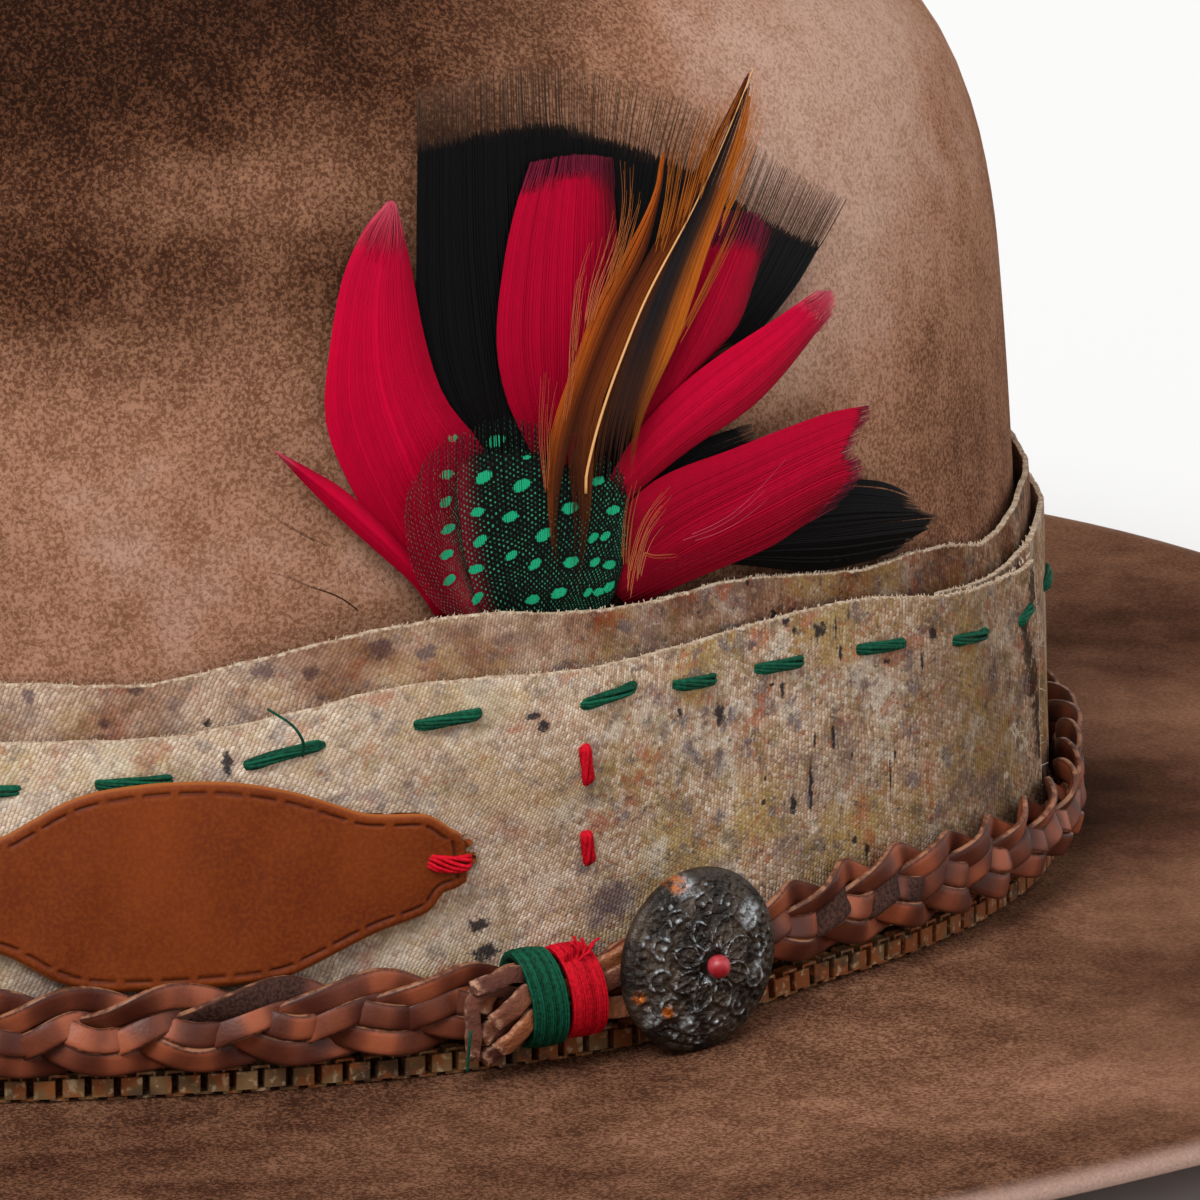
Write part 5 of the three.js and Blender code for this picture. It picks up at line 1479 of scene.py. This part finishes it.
colour = mix(tree, fit(tree, nearest, 0.85, 1.1, 1.0, 0.0), colour, tint("1FA878"))
paint(tree, Base_Color=colour)


def guinea_colours(side, share, from_tip, solid, path, luck):
    thin_side = (1 - smooth_step(side, 0.02, 0.14))[..., None]
    return dyes("0A0C0B")[0] * (1 - thin_side) + dyes("6A0C20")[0] * thin_side


vane(
    "guinea_feather",
    [
        [(45.8, 38.5), (43.8, 43.0), (43.2, 50.0), (43.6, 56.4)],
        [(49.0, 38.5), (48.6, 45.0), (48.4, 51.0), (48.4, 57.6)],
        [(51.8, 38.5), (53.0, 44.0), (54.2, 49.0), (54.8, 54.6)],
        [(53.6, 38.5), (56.2, 42.5), (58.0, 46.6), (59.2, 51.6)],
        [(55.6, 38.0), (57.6, 40.0), (58.8, 42.6), (59.4, 45.4)],
    ],
    4, 124, guinea_colours, guinea_web, "guinea_feather", ["feather_guinea"],
    rows=40, fringe=[2.4, 3.0, 2.4, 1.6, 1.0], thin=0.045, cover=0.58, ragged=0.05, clump=0.3, seed=41,
)


def thin_side_colours(side, share, from_tip, solid, path, luck):
    dark = (smooth_step(side, 0.55, 1.0) * (1 - smooth_step(share, 0.5, 0.9)))[..., None]
    return dyes("7A0A22")[0] * (1 - dark) + dyes("140A0C")[0] * dark


vane(
    "guinea_thin_side",
    [
        [(44.6, 38.5), (41.6, 40.8), (39.2, 44.2), (38.4, 48.5), (38.8, 51.9)],
        [(45.0, 38.5), (42.6, 42.4), (40.8, 47.0), (39.9, 51.6), (40.4, 54.8)],
        [(45.6, 38.5), (43.4, 43.2), (42.0, 49.6), (42.0, 56.2)],
        [(46.0, 38.5), (44.2, 43.4), (43.4, 50.2), (43.8, 56.8)],
    ],
    4, 76, thin_side_colours, guinea_web, "guinea_feather", [],
    rows=40, fringe=[9.0, 9.0, 8.0, 4.0], thin=0.028, cover=0.28, ragged=0.08, clump=0.5, soft=0.5, seed=42,
)

# Hackle: a long pointed rooster feather in orange and brown with a black stripe, and its pale shaft. Its
# foot splits in two over the guinea feather.
hackle_web = feather_finish("hackle_web", 0.5, 0.06)
LEFT_DYES = ("BC5A18", "9C4810", "56220A", "401A0A")
MIDDLE_DYES = ("401A0A", "52200A", "74340E", "A0541A")
RIGHT_DYES = ("985018", "502A16", "211A1C", "1C181A", "3A2216", "B45C14", "CC7018")
HACKLE_LAYER = 5
HACKLE_WEBS = [
    ("hackle_left", ["feather_hackle"], 34, [3.5, 2.5], LEFT_DYES, [
        [
            (51.7, 43.6), (51.4, 49.9), (52.1, 55.8), (54.8, 61.7), (57.3, 66.5), (60.4, 70.4),
            (64.2, 75.5), (65.6, 79.3),
        ],
        [
            (52.1, 43.5), (52.4, 49.7), (54.2, 55.5), (57.0, 61.5), (60.1, 66.7), (62.8, 70.4),
            (64.9, 75.4), (65.9, 79.3),
        ],
    ]),
    ("hackle_middle", [], 34, [6.0, 1.0], MIDDLE_DYES, [
        [
            (53.3, 41.0), (53.9, 48.0), (53.7, 54.5), (56.6, 61.5), (60.1, 66.7), (64.1, 71.5),
            (70.0, 78.1), (76.3, 85.0),
        ],
        [
            (53.7, 41.0), (55.4, 47.9), (56.7, 56.5), (59.0, 61.2), (62.5, 67.0), (68.4, 74.3),
            (72.7, 80.0), (76.6, 85.3),
        ],
    ]),
    ("hackle_right", [], 60, [1.0, 1.0, 1.2, 4.0], RIGHT_DYES, [
        [(55.5, 50.4), (57.4, 57.4), (60.2, 63.5), (65.3, 70.4), (71.1, 77.4), (74.8, 82.8), (76.6, 85.3)],
        [(56.8, 50.0), (58.3, 56.3), (61.5, 63.2), (65.5, 69.9), (69.5, 75.6), (73.9, 81.4), (76.0, 84.1)],
        [(58.5, 50.0), (60.1, 56.1), (63.4, 63.0), (67.0, 69.7), (71.1, 75.9), (74.6, 81.3), (76.3, 84.1)],
        [(59.5, 49.9), (61.3, 56.0), (65.7, 62.7), (69.3, 69.4), (73.0, 75.7), (75.5, 80.4), (76.4, 83.1)],
    ]),
]


def hackle_colours(stops):
    """Colours across one web, from its left edge to its right, browner at the foot."""
    def colours(side, share, from_tip, solid, path, luck):
        base = blend(dyes(*stops), side + 0.03 * np.sin(share * 9))
        foot = (1 - smooth_step(share, 0.10, 0.30))[..., None] * 0.7
        return base * (1 - foot) + dyes("3C1E10")[0] * foot
    return colours


for number, (name, nodes, barbs, fringe, stops, guides) in enumerate(HACKLE_WEBS):
    vane(
        name, guides, HACKLE_LAYER, barbs, hackle_colours(stops), hackle_web, "hackle_feather", nodes,
        fringe=fringe, thin=0.030, cover=0.70, ragged=0.10, clump=0.8, camber=0.2, soft=0.35, foot=0.10,
        seed=51 + number,
    )
QUILL = [
    (54.9, 50.2), (55.1, 52.0), (56.7, 56.5), (59.0, 61.2), (62.5, 67.0), (68.4, 74.3),
    (72.7, 80.0), (76.6, 85.3),
]
steps = np.linspace(0, 1, 60)
quill = smooth_path(QUILL, steps)
quill_out = np.full((len(steps), 1), ROOT_OUT + HACKLE_LAYER * LAYER + 0.35)
quill = np.concatenate([quill, quill_out], -1)[None]
quill_half = 0.12 - 0.08 * steps
shaft = ring_mesh("hackle_shaft", tube_rings(quill, quill_half, quill_half, 8))
shaft_finish, tree = new_finish("pale_shaft", Roughness=0.4, Specular_IOR_Level=0.5)
paint(tree, Base_Color=mix(tree, noise(tree, place_of(tree), 900, 2), tint("D09050"), tint("E4AA6A")))
shaft.data.materials.append(shaft_finish)
fasten(shaft, "hackle_feather")

# Loose barbs: single hairs of the feathers that stray over their neighbours and the felt. Each has its own
# colour and lies a little off its place.
STRAYS = [
    ([(42.5, 42.3), (37.0, 47.0), (30.9, 52.9)], 1.2, 0.045, "4A342A", 0.5, 3),
    ([(35.9, 40.2), (33.2, 42.4), (30.5, 43.6), (27.6, 45.0), (25.2, 45.3)], 1.0, 0.06, "33231C", 0.15, 2),
    ([(33.0, 46.5), (29.4, 48.6), (25.4, 51.6)], 1.0, 0.05, "33231C", 0.3, 2),
    ([(58.2, 40.6), (59.0, 43.9), (60.6, 47.3), (63.6, 50.1)], 4.6, 0.03, "B8683C", 0.5, 7),
    ([(59.2, 41.7), (60.3, 45.8), (62.2, 48.3)], 4.5, 0.03, "B8704A", 0.6, 6),
    ([(59.6, 42.9), (60.2, 44.2), (61.1, 43.9), (63.5, 43.7)], 4.5, 0.03, "B86A40", 0.3, 3),
    ([(58.1, 42.5), (58.6, 47.5), (59.3, 51.0)], 4.5, 0.035, "9C5830", 0.5, 7),
    ([(54.0, 60.0), (54.8, 66.0), (55.4, 69.2), (56.6, 72.5)], 4.3, 0.024, "C07044", 0.6, 7),
    ([(55.9, 64.4), (57.2, 68.1), (59.0, 71.7), (60.4, 75.0)], 4.3, 0.024, "C07044", 0.8, 10),
    ([(58.0, 67.1), (59.9, 71.0), (61.4, 75.0), (62.0, 78.6)], 4.3, 0.028, "A8602C", 0.9, 12),
    ([(51.2, 50.4), (51.2, 55.9), (52.2, 61.5)], 4.3, 0.026, "B05C34", 0.6, 7),
    ([(53.0, 56.1), (54.3, 61.8), (55.4, 66.9)], 4.3, 0.026, "B05C34", 0.5, 7),
    ([(63.4, 70.0), (65.2, 74.3), (66.4, 78.0), (67.6, 81.6)], 4.4, 0.028, "A85C1C", 0.9, 16),
    ([(65.8, 71.7), (67.8, 76.1), (69.4, 79.8), (71.2, 83.6)], 4.4, 0.028, "A85C1C", 0.9, 18),
    ([(68.4, 74.6), (70.4, 78.4), (72.6, 82.0), (74.6, 85.0)], 4.4, 0.028, "A85C1C", 0.8, 16),
    ([(71.8, 76.0), (74.0, 79.2), (75.8, 82.4), (77.0, 85.2)], 4.4, 0.028, "B4641E", 0.8, 16),
    ([(70.2, 71.4), (73.0, 75.6), (75.4, 79.4), (77.2, 83.0)], 4.4, 0.028, "B4641E", 0.7, 14),
    ([(64.6, 61.9), (68.6, 67.0), (72.0, 71.6), (75.0, 76.4)], 4.4, 0.028, "A85C1C", 0.5, 8),
    ([(59.7, 42.0), (66.0, 42.9), (73.8, 42.8)], 3.9, 0.03, "7A0A22", 0.6, 6),
    ([(62.0, 44.4), (70.0, 46.0), (78.2, 50.6)], 4.0, 0.02, "C06070", 0.8, 3),
]
steps = np.linspace(0, 1, 22)
paths, halves, codes = [], [], []
for points, out, half, code, spread, copies in STRAYS:
    away = unit(np.subtract(points[-1], points[0]).astype(float)) @ np.array([[0, -1], [1, 0]])
    for copy in range(copies):
        low, high = 0.25 * chance.random(), 1 - 0.3 * chance.random()
        line = smooth_path(points, low + (high - low) * steps)
        aside = spread * (2 * (copy + chance.random()) / copies - 1)
        moved = away * (aside * (0.6 + 0.6 * steps) + chance.normal(0, spread * 0.5) * steps ** 2)[:, None]
        lifted = out + 0.15 * chance.random() + 0.3 * chance.random() * steps ** 2
        paths.append(np.concatenate([line + moved, lifted[:, None]], -1))
        halves.append(half * (1 - 0.7 * steps))
        codes.append(np.array(tint(code)))
halves = np.array(halves)
rings = tube_rings(np.array(paths), halves, halves, 4)
strays = ring_mesh("stray_barbs", rings)
dye = strays.data.attributes.new("dye", "FLOAT_COLOR", "POINT")
codes = np.repeat(np.array(codes, np.float32), rings.shape[1] * rings.shape[2], 0)
dye.data.foreach_set("color", codes.ravel())
strays.data.materials.append(hackle_web)
fasten(strays, "hackle_feather")
